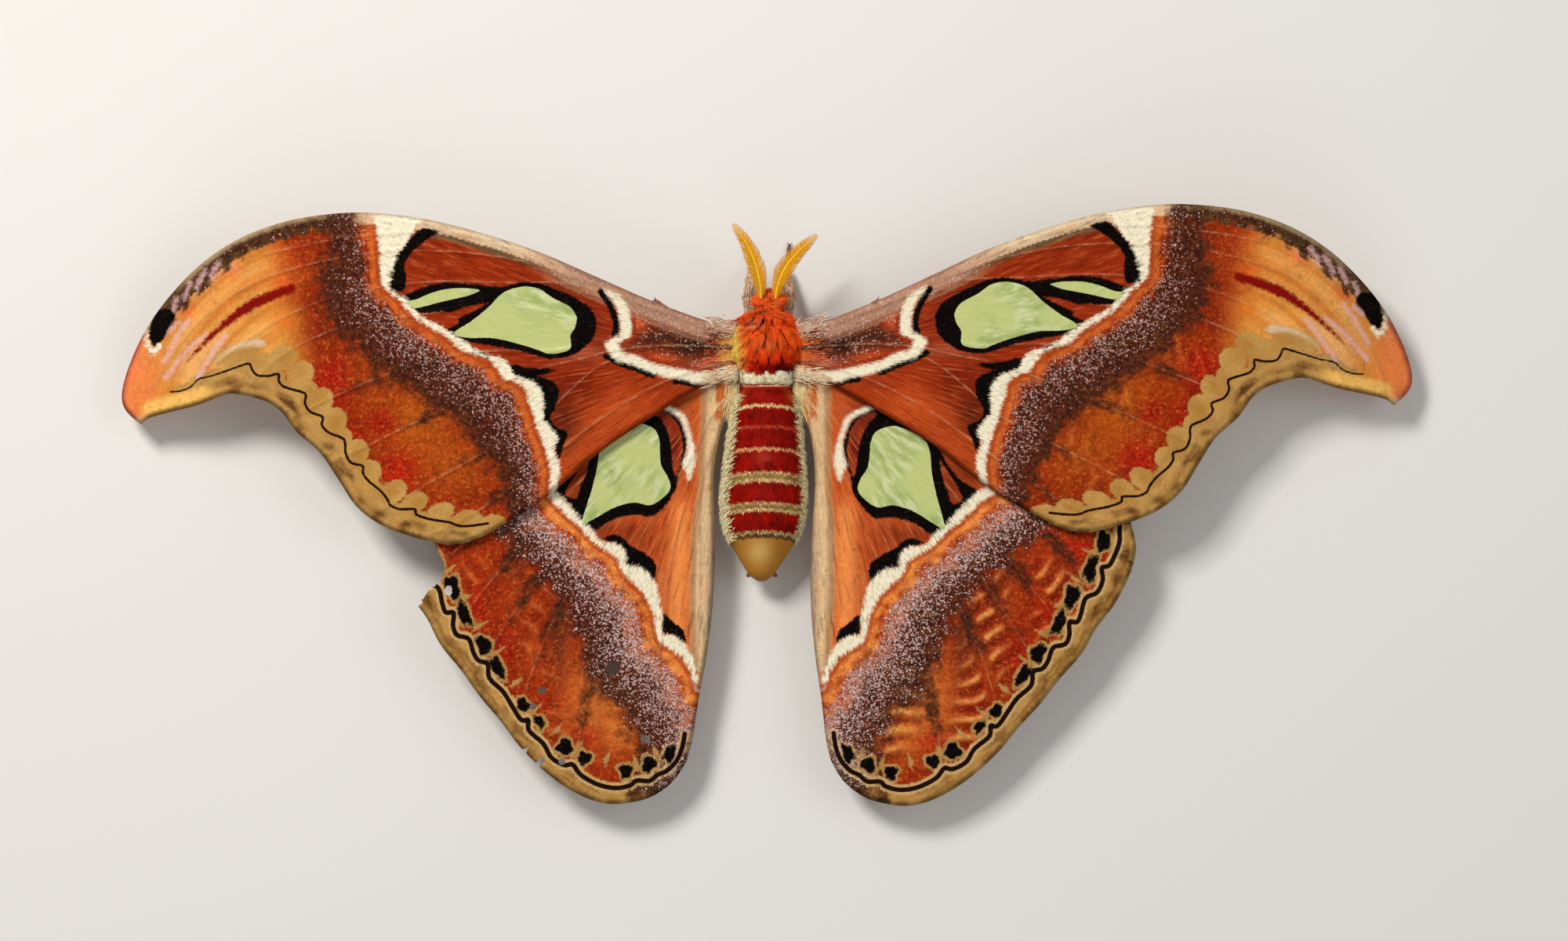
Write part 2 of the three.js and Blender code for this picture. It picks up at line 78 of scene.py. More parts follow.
class Nodes:
    def __init__(self, tree):
        self.tree = tree

    def feed(self, socket, value):
        if isinstance(value, bpy.types.NodeSocket):
            self.tree.links.new(value, socket)
        else:
            socket.default_value = value

    def add(self, kind, inputs, out=0, **settings):
        node = self.tree.nodes.new("ShaderNode" + kind)
        for key, value in settings.items():
            setattr(node, key, value)
        for key, value in inputs.items():
            self.feed(node.inputs[key], value)
        return node.outputs[out]

    def math(self, kind, a, b=0.0):
        return self.add("Math", {0: a, 1: b}, operation=kind)

    def plus(self, a, b):
        return self.math("ADD", a, b)

    def times(self, a, b):
        return self.math("MULTIPLY", a, b)

    def step(self, value, low, high):
        inputs = {0: value, 1: low, 2: high, 3: 0.0, 4: 1.0}
        return self.add("MapRange", inputs, interpolation_type="SMOOTHSTEP")

    def span(self, value, low, high):
        return self.add("MapRange", {0: value, 1: 0.0, 2: 1.0, 3: low, 4: high})

    def swing(self, value, amount):
        return self.times(self.plus(value, -0.5), amount)

    def blend(self, fac, a, b, kind="MIX"):
        inputs = {0: fac, 6: a, 7: b}
        return self.add("Mix", inputs, out=2, data_type="RGBA", blend_type=kind)

    def value(self, name):
        return self.add("Attribute", {}, out=2, attribute_name=name)

    def color(self, name):
        return self.add("Attribute", {}, attribute_name=name)

    def place(self):
        return self.add("Mapping", {0: self.add("TexCoord", {}, out=3), 3: (1 / mm, 1 / mm, 1 / mm)})

    def noise(self, vector, scale, detail=2.0, rough=0.5):
        inputs = {"Vector": vector, "Scale": scale, "Detail": detail, "Roughness": rough}
        return self.add("TexNoise", inputs)

    def cells(self, vector, scale, out=1):
        return self.add("TexVoronoi", {"Vector": vector, "Scale": scale}, out=out)

    def join(self, x, y):
        return self.add("CombineXYZ", {0: x, 1: y})

    def part(self, color, channel):
        return self.add("SeparateColor", {0: color}, out=channel)

    def bump(self, strength, distance, height):
        return self.add("Bump", {"Strength": strength, "Distance": distance * mm, "Height": height})


def newMaterial(name):
    material = bpy.data.materials.new(name)
    material.use_nodes = True
    return material, Nodes(material.node_tree), material.node_tree.nodes["Principled BSDF"]


# Plain pale floor and soft studio light
stageLook = {"floor": (232, 230, 226), "roughness": 0.9, "size": 2.4, "height": -0.0001, "world": 0.26}
bpy.ops.object.select_all(action="DESELECT")
bpy.ops.mesh.primitive_plane_add(size=stageLook["size"], location=(0, 0, stageLook["height"]))
floor = bpy.context.object
floor.name = "floor"
floorMaterial, _, floorShader = newMaterial("floor")
floorShader.inputs["Base Color"].default_value = rgba(stageLook["floor"])
floorShader.inputs["Roughness"].default_value = stageLook["roughness"]
floor.data.materials.append(floorMaterial)
scene.world = bpy.data.worlds.new("world")
scene.world.use_nodes = True
background = scene.world.node_tree.nodes["Background"]
background.inputs[0].default_value = (1.0, 1.0, 1.0, 1.0)
background.inputs[1].default_value = stageLook["world"]
scene.view_settings.view_transform = "Standard"

lamps = [
    {"name": "key", "at": (-0.35, 0.45, 0.62), "size": 0.22, "power": 5.6, "color": (1.0, 0.97, 0.92)},
    {"name": "fill", "at": (0.6, 0.1, 0.6), "size": 0.5, "power": 1.1, "color": (0.95, 0.98, 1.0)},
    {"name": "back", "at": (0.0, -0.6, 0.4), "size": 0.5, "power": 0.6, "color": (1.0, 1.0, 1.0)},
]
for lamp in lamps:
    light = bpy.data.objects.new(lamp["name"], bpy.data.lights.new(lamp["name"], "AREA"))
    scene.collection.objects.link(light)
    light.location = lamp["at"]
    light.rotation_euler = (-Vector(lamp["at"])).to_track_quat("-Z", "Y").to_euler()
    light.data.size = lamp["size"]
    light.data.energy = lamp["power"]
    light.data.color = lamp["color"]
print("stage ready")


# Curves and distances on the wings, in millimetres, on the right side as seen from above.
# A distance is measured up to this far from its curve, unless a call asks for more.
away = 9.0


def smooth(points, per=6):
    p = np.array(points, float)
    q = np.vstack([p[:1], p, p[-1:]])
    t = np.linspace(0, 1, per, endpoint=False)[:, None]
    runs = []
    for a, b, c, d in zip(q[:-3], q[1:-2], q[2:-1], q[3:]):
        leave, reach = (c - a) / 2, (d - b) / 2
        cubic = (2 * b - 2 * c + leave + reach) * t**3
        runs.append(cubic + (3 * c - 3 * b - 2 * leave - reach) * t**2 + leave * t + b)
    return np.vstack([*runs, p[-1:]])


def loop(points, per=5):
    return smooth([*points, points[0]], per)


def near(p, line, far=away):
    best = np.full(len(p), far)
    low, high = line.min(0) - far, line.max(0) + far
    some = np.flatnonzero(((p > low) & (p < high)).all(1))
    q = p[some]
    found = np.full(len(q), far * far)
    for a, b in zip(line[:-1], line[1:]):
        ab = b - a
        t = np.clip(((q - a) @ ab) / max(ab @ ab, 1e-9), 0, 1)
        found = np.minimum(found, ((q - a - t[:, None] * ab) ** 2).sum(1))
    best[some] = np.sqrt(found)
    return best


def inside(p, ring):
    x, y = p.T
    odd = np.zeros(len(p), bool)
    for a, b in zip(ring, np.roll(ring, -1, 0)):
        if a[1] != b[1]:
            crosses = (a[1] > y) != (b[1] > y)
            odd ^= crosses & (x < a[0] + (y - a[1]) * (b[0] - a[0]) / (b[1] - a[1]))
    return odd


def area(p, ring, far=away):
    closed = np.vstack([ring, ring[:1]])
    return np.where(inside(p, ring), 1, -1) * near(p, closed, far)


def band(p, points, half):
    return half - near(p, smooth(points))


def spots(p, items, power=2.0, uneven=0.0):
    best = np.full(len(p), -away)
    for number, (cx, cy, wide, tall, lean) in enumerate(items):
        turn = math.radians(lean)
        dx, dy = p[:, 0] - cx, p[:, 1] - cy
        u = (dx * math.cos(turn) + dy * math.sin(turn)) / wide * 2
        v = (dy * math.cos(turn) - dx * math.sin(turn)) / tall * 2
        way = np.arctan2(v, u)
        rim = 1 + uneven * (np.sin(3 * way + 2.1 * number) + 0.7 * np.sin(5 * way + 4.7 * number))
        out = (np.abs(u) ** power + np.abs(v) ** power) ** (1 / power) / rim
        best = np.maximum(best, (1 - out) * min(wide, tall) / 2)
    return best


def ease(low, high, x):
    t = np.clip((x - low) / (high - low), 0, 1)
    return t * t * (3 - 2 * t)


def hump(x, low, high, soft):
    return ease(low - soft, low + soft, x) * (1 - ease(high - soft, high + soft, x))


def blob(p, cx, cy, rx, ry):
    return np.exp(-(((p[:, 0] - cx) / rx) ** 2) - ((p[:, 1] - cy) / ry) ** 2)


def tint(ground, amount, color):
    return ground + (np.array(color, float) - ground) * np.clip(amount, 0, 1)[:, None]


def tints(ground, *layers):
    for amount, color in layers:
        ground = tint(ground, amount, color)
    return ground


def plain(color, count):
    return np.tile(np.array(color, float), (count, 1))


# The wings' outlines, as in the part's source
foreShape = {
    "hinge": (8, 28),
    "front": [
        (5, 31.8), (10, 33.3), (20, 37.2), (30, 41.8), (40, 46.4), (50, 50), (60, 52.8), (70, 54.3),
        (78, 54.3), (86, 53.2), (94, 50.6), (101, 46.6), (107, 41.4), (112, 35.6), (115.6, 29.4),
        (117.4, 24.2), (116.8, 21.1), (113.9, 18.4),
    ],
    "outer": [
        (113.9, 18.4), (112, 19.6), (108, 20.5), (103, 21.5), (98, 23.1), (95.5, 23.2), (90.5, 21.8),
        (87.6, 19.8), (85, 16.2), (80.9, 12.4), (77.8, 7.6), (74.6, 2.6), (70, -0.9), (64, -3.2),
        (58.5, -4.6),
    ],
    "hind": [(5, 24.6), (11, 22.4), (20, 17.4), (30, 11.3), (40, 3.6), (48, -1.2), (54, -4), (58.5, -4.6)],
    "veins": [
        [(5, 30.9), (20, 36), (30, 40.3), (38, 43.5), (46, 45.6), (56, 47.1), (68, 47.4), (78, 46.3),
         (88, 44), (97, 40), (105, 33.3), (110.3, 26.5), (112.4, 19.6)],
        [(27, 38.3), (35, 40.8), (46, 41.3), (58, 41.9), (68, 41.3), (78, 39.6), (87, 36.3), (95, 31.6),
         (102, 26), (104.5, 21.3)],
        [(48, 39.2), (57, 36.8), (66, 35.8), (75, 34.6), (84, 31.5), (91, 26.8), (94.5, 23.2)],
        [(34, 29.6), (40, 28.9), (47, 29.4), (56, 28.9), (66, 26.6), (77, 22.6), (86.5, 18.4)],
        [(5, 28.6), (18, 29.4), (27, 28.9), (33, 27.6), (40, 26.2), (46, 24.4), (56, 20.4), (66, 16.2),
         (74, 12.6), (79.7, 10.6)],
        [(26.5, 27.8), (31, 25.6), (36, 21.6), (40.6, 17.4), (48, 13.2), (58, 8.2), (67, 3.6),
         (72.6, 0.9)],
        [(5, 26.2), (12, 25.2), (20, 22.4), (30, 17), (38, 11.3), (46, 5.6), (54, 0.6), (61, -2.4),
         (65, -2.8)],
        [(18, 36.6), (30, 42.2), (42, 47), (55, 50), (68, 50.6), (80, 49.4), (90, 47.6)],
    ],
}
hindShape = {
    "hinge": (8, 23),
    "front": [
        (4.5, 24.2), (12, 24.2), (24, 22.6), (38, 18.5), (50, 12.5), (59, 6.2), (64.2, 1.2), (66, -3.4),
    ],
    "outer": [
        (66, -3.4), (66.8, -7.8), (65.5, -12.6), (62.8, -17.8), (59.6, -22), (57, -26.6), (53, -31.2),
        (49.6, -35.6), (45.6, -40), (42, -44.4), (37, -49), (31.5, -52.5), (26, -54.2), (20.5, -53.6),
        (17, -52.2), (13.8, -49.5), (11.7, -46),
    ],
    "hind": [
        (4.5, 19.6), (7, 16.4), (8.4, 10.5), (8.8, 4), (8.3, -4), (8, -12), (8.2, -20), (9, -28),
        (10, -35), (10.8, -42), (11.7, -46),
    ],
    "veins": [
        [(4.5, 23.6), (14, 22.4), (26, 18.4), (38, 12.5), (48, 6.2), (57, -1), (63, -7), (65.9, -11.4)],
        [(26, 15.5), (36, 8.6), (44, 1.8), (52, -6.4), (58, -13.6), (61.5, -19.6)],
        [(30, 7), (37, -1.2), (44, -9.6), (51, -18.5), (56.2, -27.4)],
        [(31.8, -3.6), (38, -11.6), (44.6, -21.4), (51.5, -33)],
        [(28, -7), (33.4, -15), (38.6, -26), (43.6, -42.4)],
        [(4.5, 21.6), (9, 17.6), (13, 9), (17.6, 1.4), (22.4, -8), (26, -19), (29.8, -33), (32.6, -51.8)],
        [(14, 0), (16.2, -12), (17.4, -26), (19.4, -41), (21, -53.6)],
        [(4.5, 20.5), (7.6, 16.5), (9.8, 10), (11.2, 2), (10.9, -8), (10.6, -18), (10.9, -28), (12.4, -38),
         (14.2, -49.6)],
    ],
}
wornEdge = [
    (72, 2), (61, -1), (57.6, -5.6), (58.9, -8.4), (57.6, -10.6), (56.8, -13), (57.6, -15.2),
    (59.8, -17.2), (61.6, -20), (64, -22.6), (72, -22),
]
# Holes worn through the left hind wing, each with its middle, width, height and lean
wornHoles = [
    (25.6, -29.6, 2.2, 2.6, 20), (38.4, -34.2, 1.6, 1.1, 0), (39.8, -37.2, 1.1, 1.0, 0),
    (19.2, -42.4, 2.0, 0.9, 30), (55.9, -16.9, 1.1, 1.8, 0), (34.2, -46.8, 1.0, 1.1, 0),
    (41.2, -45.3, 0.9, 0.8, 0), (37.8, -46.9, 0.8, 1.1, 0),
]
rust, mahogany, tipRed, streakRed = (150, 44, 12), (104, 34, 16), (238, 132, 74), (132, 14, 8)
white, black = (252, 242, 214), (9, 6, 5)
# Lines, windows and spots. The ends are corners far off the wing, which close a line into a field.
foreMarks = {
    "lineEnds": [(39, -30), (150, -30), (150, 80), (69, 80)],
    "innerEnds": [(0, 22), (0, 50)],
    "waveEnds": [(40, -30), (150, -30), (150, 24)],
    "arc": [(89.4, 32.0), (93, 32.2), (97, 30.8), (100.4, 28.2)],
    "crescent": [(111.6, 37), (112.3, 34.8), (112, 32.4), (110.9, 31.2), (109.9, 32.2)],
    "slip": [(49.6, 37.9), (53, 37.4), (57, 36.2), (60, 35.8), (56.4, 34.9), (53, 36.2)],
    "lineIn": [
        (60.6, 53.6), (62.2, 51.6), (64.2, 48.9), (65.8, 46.8), (66.5, 44.9), (67.1, 42.6), (67.3, 41),
        (66.2, 39.9), (64.2, 38.7), (62.9, 36.8), (60.8, 35.1), (57.1, 33.1), (55.6, 32), (53.2, 30.4),
        (50.9, 28.8), (47.8, 28), (46.2, 26.5), (45.4, 24.9), (42.3, 23.7), (40.8, 22.2), (40.4, 19.8),
        (40.6, 17.5), (40, 16.3), (38.4, 14.4), (38.1, 13.6), (38.8, 11.6), (38.1, 9.3), (37.9, 7.7),
        (38.4, 5.5), (38.6, 3),
    ],
    "lineOut": [
        (69.6, 53.8), (69.2, 51.2), (68.8, 47.6), (68.7, 44.5), (68.5, 41.8), (67.7, 40.7),
        (65.8, 39.1), (64.2, 37.2), (62.3, 35.3), (59.5, 33.5), (57.1, 32), (54.8, 30), (52.5, 29),
        (49.7, 27.9), (48.2, 26.1), (47.4, 24.7), (45, 23.8), (43.3, 22.2), (42.9, 20.2), (42, 17.5),
        (41.6, 15.5), (40.8, 13.6), (40, 10.8), (39.4, 8.1), (39.6, 5.5), (39.8, 3),
    ],
    "inner": [
        (28.6, 39.6), (26, 38.2), (24.9, 36.5), (24.3, 34.6), (24.2, 32.8), (24.5, 31.2), (26.6, 30.2),
        (26.2, 29), (25.4, 28.1), (23.2, 27.6), (20.8, 26.3), (17.5, 25.5), (13.5, 24.6), (8.7, 24.1),
        (8.6, 22.9), (12.3, 22.6), (15.1, 23.4), (18.5, 24), (20.8, 24.8), (24.2, 26.3), (27, 27.1),
        (28.2, 28.6), (28.8, 30), (27.2, 31), (26.1, 31.6), (26, 33.4), (26.2, 35.2), (26.8, 37),
        (28, 38.4),
    ],
    "bigWindow": [
        (33.8, 34.7), (34.9, 36.6), (38.1, 38.4), (40.4, 40), (43.1, 40.5), (45.8, 40), (47.6, 39),
        (49.7, 37), (52.8, 34.7), (56, 32.7), (53.6, 31.8), (49, 31.6), (44.3, 30.4), (40.8, 29.2),
        (38.9, 28.5), (35.3, 29.2), (35.1, 31.6), (34.2, 33.1),
    ],
    "smallWindow": [
        (50.8, 40.1), (53.2, 40.5), (56.9, 40.5), (60, 39.8), (62.3, 38.9), (64, 38.5), (62.9, 37.3),
        (57.9, 38.3), (53.2, 39.2),
    ],
    "lobes": [
        (95, 30.6, 10.6, 3.0, -18), (90.8, 28.2, 6.4, 4.2, -10), (86.9, 29.4, 5.2, 4.2, -20),
        (83.9, 26.4, 5.2, 4.4, -35), (82.6, 23.4, 3.6, 3.6, 0), (80.4, 21.5, 5, 4.2, -50),
        (78.2, 17.9, 5, 4.6, -50), (76.8, 15, 3.6, 3.4, -50), (74.3, 12.3, 4.8, 4.4, -50),
        (72.1, 8.8, 4.4, 4.2, -50), (68, 5, 5.6, 3.8, -35), (64.1, 3.2, 4.8, 3.6, -25),
        (59.6, 1.2, 5.4, 3.4, -18), (54.8, 0, 5.2, 3, -8), (50, -0.6, 5, 2.2, 0),
    ],
    "wave": [
        (108, 24), (106.2, 24.1), (104.2, 24.7), (102.5, 26.1), (100, 26.6), (96.9, 27.5), (94.6, 28.2),
        (93.1, 28.5), (92.7, 27.6), (91.9, 26.5), (90, 26.2), (87.9, 26.5), (87.9, 25.3), (86.9, 24.2),
        (83.8, 23.2), (83.1, 22.6), (83.3, 21.1), (82.3, 19.6), (80.2, 18.7), (80.4, 17.3),
        (79.2, 15.9), (76.7, 14.8), (76.3, 13.8), (76.3, 12.3), (75.4, 10.5), (73.3, 9.8), (73.3, 8.6),
        (72.3, 7.1), (70.2, 5.3), (69, 3.7), (68.5, 2.7), (66.9, 2), (64.2, 1.9), (64, 1), (62.7, 0.4),
        (60.8, -0.1), (58.1, -0.6), (56.2, -1.3), (53.8, -1.3), (51, -1.0),
    ],
    "eye": [
        (107.3, 38.7), (109.6, 38.7), (111.2, 36.4), (111.8, 34.4), (110.8, 32.2), (109, 33.4),
        (107.7, 35.7), (106.5, 37.2),
    ],
    "streak": [
        (84.4, 42.3), (87.4, 41.6), (90.4, 40.6), (93.4, 39.3), (96.4, 37.1), (99.3, 34.7),
        (101.9, 32.2), (104.4, 29.4), (101.3, 31.9), (98.6, 34), (95.6, 36), (92.6, 37.7), (89.6, 39),
        (86.8, 40.1), (84.4, 40.8),
    ],
    "blacks": [
        [(30.4, 34.7), (31.6, 36.6), (34.2, 38.4), (37.3, 39.8), (40, 40.9), (43.4, 41.3), (47, 40.6),
         (51, 41), (57, 41.6), (61, 41), (65, 39.6), (66.3, 40.6), (66.6, 43), (66.2, 45.6), (67.4, 43),
         (67.5, 40.9), (66, 39.7), (64.4, 38.3), (63.3, 36.7), (60.4, 36.4), (57, 36.4), (55, 34.6),
         (57.2, 33.2), (54, 31.2), (50, 30.4), (45.5, 29.5), (41, 28.2), (38.7, 27.6), (35, 28.1),
         (32.2, 29.8), (30.6, 32)],
        [(55.6, 32.3), (52.4, 29.9), (49, 28.3), (46.4, 26.9), (42.5, 26.2), (38, 25.7), (41.6, 24.6),
         (45, 24.9), (47.6, 27), (51, 28.3), (54, 30.3)],
        [(46.6, 26.8), (44.4, 26.7), (41.6, 24.9), (39.2, 24), (37.6, 22.4), (38, 19.6), (39.2, 17.4),
         (38.2, 15.6), (36.2, 14.6), (37, 12.4), (37.9, 10), (38.6, 12), (38.5, 14.2), (40.4, 16.6),
         (40.6, 20), (41.2, 22.5), (43, 23.9), (45.6, 24.8)],
        [(58, 50.6), (61, 51.3), (63, 49.8), (65.2, 47.4), (66.6, 45.4), (67, 41.4), (65, 40.2),
         (64.2, 42.5), (64.4, 45.2), (62.4, 47.6), (60, 49.4)],
    ],
    "hairs": [
        [(29.4, 39.2), (28.2, 37.4), (27.2, 35.2), (26.8, 33), (27.2, 31.6)],
        [(28.8, 27.8), (26.6, 26.6), (23.8, 25.6), (20.6, 24.2)], [(16.6, 23), (14.6, 22.8), (12.8, 22.2)],
    ],
    "gleams": [
        [(98, 46.5), (99.4, 44.4)], [(100.6, 45.2), (102.2, 42.4)], [(103.4, 43.1), (104.7, 40.6)],
        [(106.1, 40.4), (107.1, 38)],
    ],
    "pinks": [
        [(97.3, 33.8), (99.6, 30.8), (102.7, 26.5)],
        [(100.7, 33.8), (104.2, 31.5), (108.8, 26.5)],
        [(104.2, 36.4), (106.2, 33.8), (108.9, 29.5)],
        [(106.1, 36.1), (108.5, 34.5)],
    ],
}
hindMarks = {
    "lineEnds": [(8, -34), (0, -80), (90, -80), (90, 10)],
    "waveEnds": [(0, -44), (0, -90), (120, -90), (120, 1)],
    "lineIn": [
        (46, 7.5), (42.5, 5), (39.6, 3.4), (38.1, 2.6), (36.1, 0.7), (33.8, -1.7), (32.2, -3.6),
        (30.5, -4.8), (28.8, -6.9), (25.5, -7.5), (24.2, -9), (24, -10.9), (21.7, -11.3), (20, -12.4),
        (18.5, -14.5), (17.8, -17.1), (17.2, -20.4), (17, -23.2), (15.3, -23.4), (13.2, -24.7),
        (11.5, -27.2), (10.4, -30.2), (9.8, -33.2),
    ],
    "lineOut": [
        (46.6, 6.3), (43, 3.7), (40.4, 2), (38.6, 1), (36.8, -0.8), (34.6, -2.8), (33, -3.9),
        (31.4, -5.6), (29.5, -7.3), (27.2, -8.6), (25.5, -9.9), (24.6, -12), (22.9, -13.7),
        (20.4, -16.2), (18.7, -19.2), (18, -22.6), (17.2, -24.5), (14.9, -26), (12.8, -27.7),
        (11.3, -30.2), (10.4, -33.2),
    ],
    "inner": [
        (24, 22.2), (21, 20), (18, 18.2), (14.6, 16.4), (13.5, 13.8), (12.7, 11.4), (12.2, 9),
        (12.5, 6.8), (13.2, 4.6), (14, 6.4), (14.5, 7.8), (13.9, 9.5), (13.8, 11.4), (14.4, 13.8),
        (15.6, 16), (18.7, 17.5), (22, 19.4), (25, 21.4),
    ],
    "window": [
        (18.8, 11.6), (19.8, 13.6), (22.5, 14.6), (24.8, 14.2), (28.3, 12.4), (29.5, 10.1), (29.9, 6.2),
        (30.7, 2.3), (31.8, -1.6), (32.2, -4), (29.9, -2.8), (26.4, -0.7), (22.9, 0.3), (19.8, 0),
        (16.7, 2.6), (17, 5), (18.4, 7.4),
    ],
    "blacks": [
        [(14.2, 8.4), (13.9, 11.4), (14.6, 13.8), (16, 16), (18.8, 17.8), (24, 18.6), (28, 16.4),
         (31, 13), (33, 10.6), (30, 12.8), (31.6, 9.8), (34.5, 5.4), (38.4, 2.6), (36, 0.8),
         (33.8, -1.7), (32.6, -4.2), (30, -5), (26.6, -2.9), (22.9, -1.9), (19.6, -2), (17.2, 0.2),
         (15.6, 3), (15.2, 5.4)],
        [(28.8, -6.6), (25.4, -7.4), (24.2, -9), (24, -11), (21.6, -11.3), (19, -13.6), (18.7, -10.6),
         (20.6, -8.8), (23, -7.6), (26, -5.6)],
        [(17, -23), (15, -23.4), (12.8, -24.8), (13.2, -22.4), (15.2, -20.8), (16.9, -19.6)],
    ],
    "mahogany": [(31.4, 8.4), (32.6, 6.6), (34.6, 3.4), (35.4, 1.4), (33.6, 0.6), (32.8, 2.6), (31.8, 5.4)],
    "slit": [
        (14.9, 8), (14.6, 10.6), (15.2, 13.6), (16.4, 15.6), (18.6, 17), (20, 16.8), (18.4, 15),
        (17.3, 13), (16.6, 10.2), (16.2, 6.8), (15.6, 5.6),
    ],
    "wave": [
        (64.4, 1), (63.8, -3.5), (63.8, -6.2), (62.9, -8.8), (61.9, -10.6), (60.6, -11), (60.8, -13.1),
        (59.8, -15.4), (57.7, -16.5), (56.9, -19.2), (56.2, -20.8), (54.8, -20.8), (54.8, -23.1),
        (54, -24.8), (51.9, -25.4), (51, -27.7), (50, -29.2), (48.3, -29.8), (47.9, -32.3),
        (45.4, -34.6), (43.8, -36.9), (41.9, -39.6), (40.6, -39.6), (40.4, -41.5), (37.7, -43.8),
        (36.2, -46.2), (33.8, -47.5), (32.3, -47.3), (31.1, -48.8), (29.7, -49.8), (27.2, -50.9),
        (24.2, -51.3), (21.7, -50.7), (20.6, -49.8), (18.3, -49.8), (16.8, -48.6), (15.3, -47.9),
        (13.6, -46.1), (12.6, -43.6), (12.2, -41),
    ],
    "spots": [
        (61.2, -1.6, 2.2, 3.0, -6), (60.9, -6.2, 2.5, 3.8, -4), (58.6, -11.2, 2.2, 5.0, -14),
        (55.2, -16.2, 2.5, 4.2, -20), (52.9, -20.9, 2.0, 4.6, -22), (49.2, -26.4, 2.5, 3.5, -30),
        (46.5, -30.4, 2.0, 4.2, -34), (41.6, -36.9, 2.0, 2.6, -40), (38.6, -39.8, 1.6, 2.6, -42),
        (33.8, -44.2, 2.8, 2.8, -50), (30.2, -46.1, 2.4, 2.3, -60), (22.6, -48.2, 2.5, 2.3, 80),
        (18.5, -46.8, 2.3, 3.0, 30), (14.8, -44.7, 2.0, 3.4, 20),
    ],
}


def closed(inner, outer):
    return np.vstack([smooth(inner), smooth(outer)[::-1]])


def field(p, line, ends, far):
    return area(p, np.vstack([smooth(line), ends]), far)


def rings(p, items, per):
    return np.max([area(p, loop(points, per)) for points in items], 0)


# Soft patches of colour: middle, reach each way, strength and colour
foreBlots = {
    "middle": [
        (44, 44.5, 16, 3, 0.6, (146, 42, 8)), (27, 18, 9, 5, 0.9, (200, 82, 30)),
        (36, 11, 6, 7, 0.9, (184, 76, 30)), (35, 22.5, 6, 4, 0.9, (120, 30, 8)),
        (37, 17, 3, 3, 0.85, (84, 26, 10)), (32, 40.6, 6, 2, 0.6, (84, 40, 22)),
        (31, 33.5, 2.6, 4, 0.7, (120, 34, 24)), (33, 28.4, 5, 1.6, 0.5, (188, 110, 90)),
    ],
    "root": [
        (18.6, 27.2, 5, 1.4, 0.95, (214, 78, 32)), (22.9, 33.4, 2.0, 2.4, 0.95, (214, 86, 40)),
        (14, 33.5, 6, 1.6, 0.5, (128, 74, 48)), (12.6, 29.4, 5.2, 2.2, 1, (22, 14, 13)),
        (19, 31.0, 4.4, 1.1, 0.85, (52, 30, 24)), (11, 25.8, 3.4, 0.8, 0.7, (206, 120, 92)),
        (26.6, 29.6, 1.6, 1.2, 0.7, (120, 90, 70)),
    ],
    "outer": [
        (64, 17, 8, 8, 0.9, (184, 90, 22)), (57, 9, 7, 5, 0.8, (178, 84, 24)),
        (72, 27, 6, 5, 0.5, (176, 76, 22)), (67, 8.5, 3.4, 3.8, 0.95, (176, 28, 14)),
        (69.5, 17.2, 2.6, 2.4, 0.85, (150, 18, 10)), (75, 14.6, 2.6, 3.8, 0.85, (156, 22, 12)),
        (78.6, 26, 3.4, 3.0, 0.95, (170, 26, 14)), (77.2, 21.6, 2, 1.8, 0.7, (150, 24, 12)),
        (82, 33.4, 3, 2.4, 0.8, (128, 26, 12)), (62, 26.4, 4.4, 2.4, 0.6, (76, 40, 26)),
        (55.4, 19.6, 3, 2.4, 0.6, (84, 44, 28)), (79, 38.6, 5, 4, 0.5, (146, 44, 20)),
        (88, 47.4, 5, 2.2, 0.8, (200, 76, 34)), (71.4, 50.6, 2.6, 1.4, 0.7, (204, 90, 46)),
        (80, 44, 5, 2.2, 0.5, (160, 60, 22)),
    ],
    "tip": [
        (93, 34, 7, 3, 0.7, (232, 160, 76)), (92, 43.2, 8, 2.6, 0.6, (216, 116, 48)),
        (88, 36.4, 4, 1.4, 0.7, (206, 124, 44)), (103.5, 28.5, 3.6, 4.4, 0.7, (232, 168, 118)),
        (99, 31.6, 2.4, 2, 0.5, (230, 180, 140)), (101, 38.5, 6, 2.4, 0.5, (222, 132, 70)),
        (86.3, 41.9, 2, 1.9, 0.8, (230, 92, 30)), (86.6, 36, 2, 1.6, 0.8, (228, 116, 36)),
        (95.6, 45.2, 1.7, 1.4, 1, (236, 112, 50)), (97.6, 45.9, 2.6, 1.1, 0.9, (228, 206, 200)),
        (100.8, 44.2, 1.9, 1.3, 1, (250, 240, 244)), (103.4, 42.2, 2.1, 1.2, 1, (246, 236, 240)),
        (106.4, 39.4, 1.8, 1.4, 0.9, (190, 176, 190)), (102, 42.9, 0.9, 0.7, 0.7, (120, 96, 100)),
        (105.2, 40.5, 0.8, 0.7, 0.8, (96, 76, 84)), (104.2, 38.4, 1.6, 1.3, 0.9, (228, 104, 48)),
        (114, 27.5, 3.4, 5, 0.9, (240, 134, 60)), (113.2, 30.5, 1.3, 3, 0.5, (246, 172, 120)),
        (110.5, 29, 2, 4, 0.6, (232, 140, 72)),
    ],
}


def blots(p, ground, items):
    for cx, cy, rx, ry, amount, color in items:
        ground = tint(ground, blob(p, cx, cy, rx, ry) * amount, color)
    return ground


# Thorns of the pale frames that point inwards between two dark spots
thornShape = {"inward": 1.1, "wide": 0.9, "tall": 3.6}


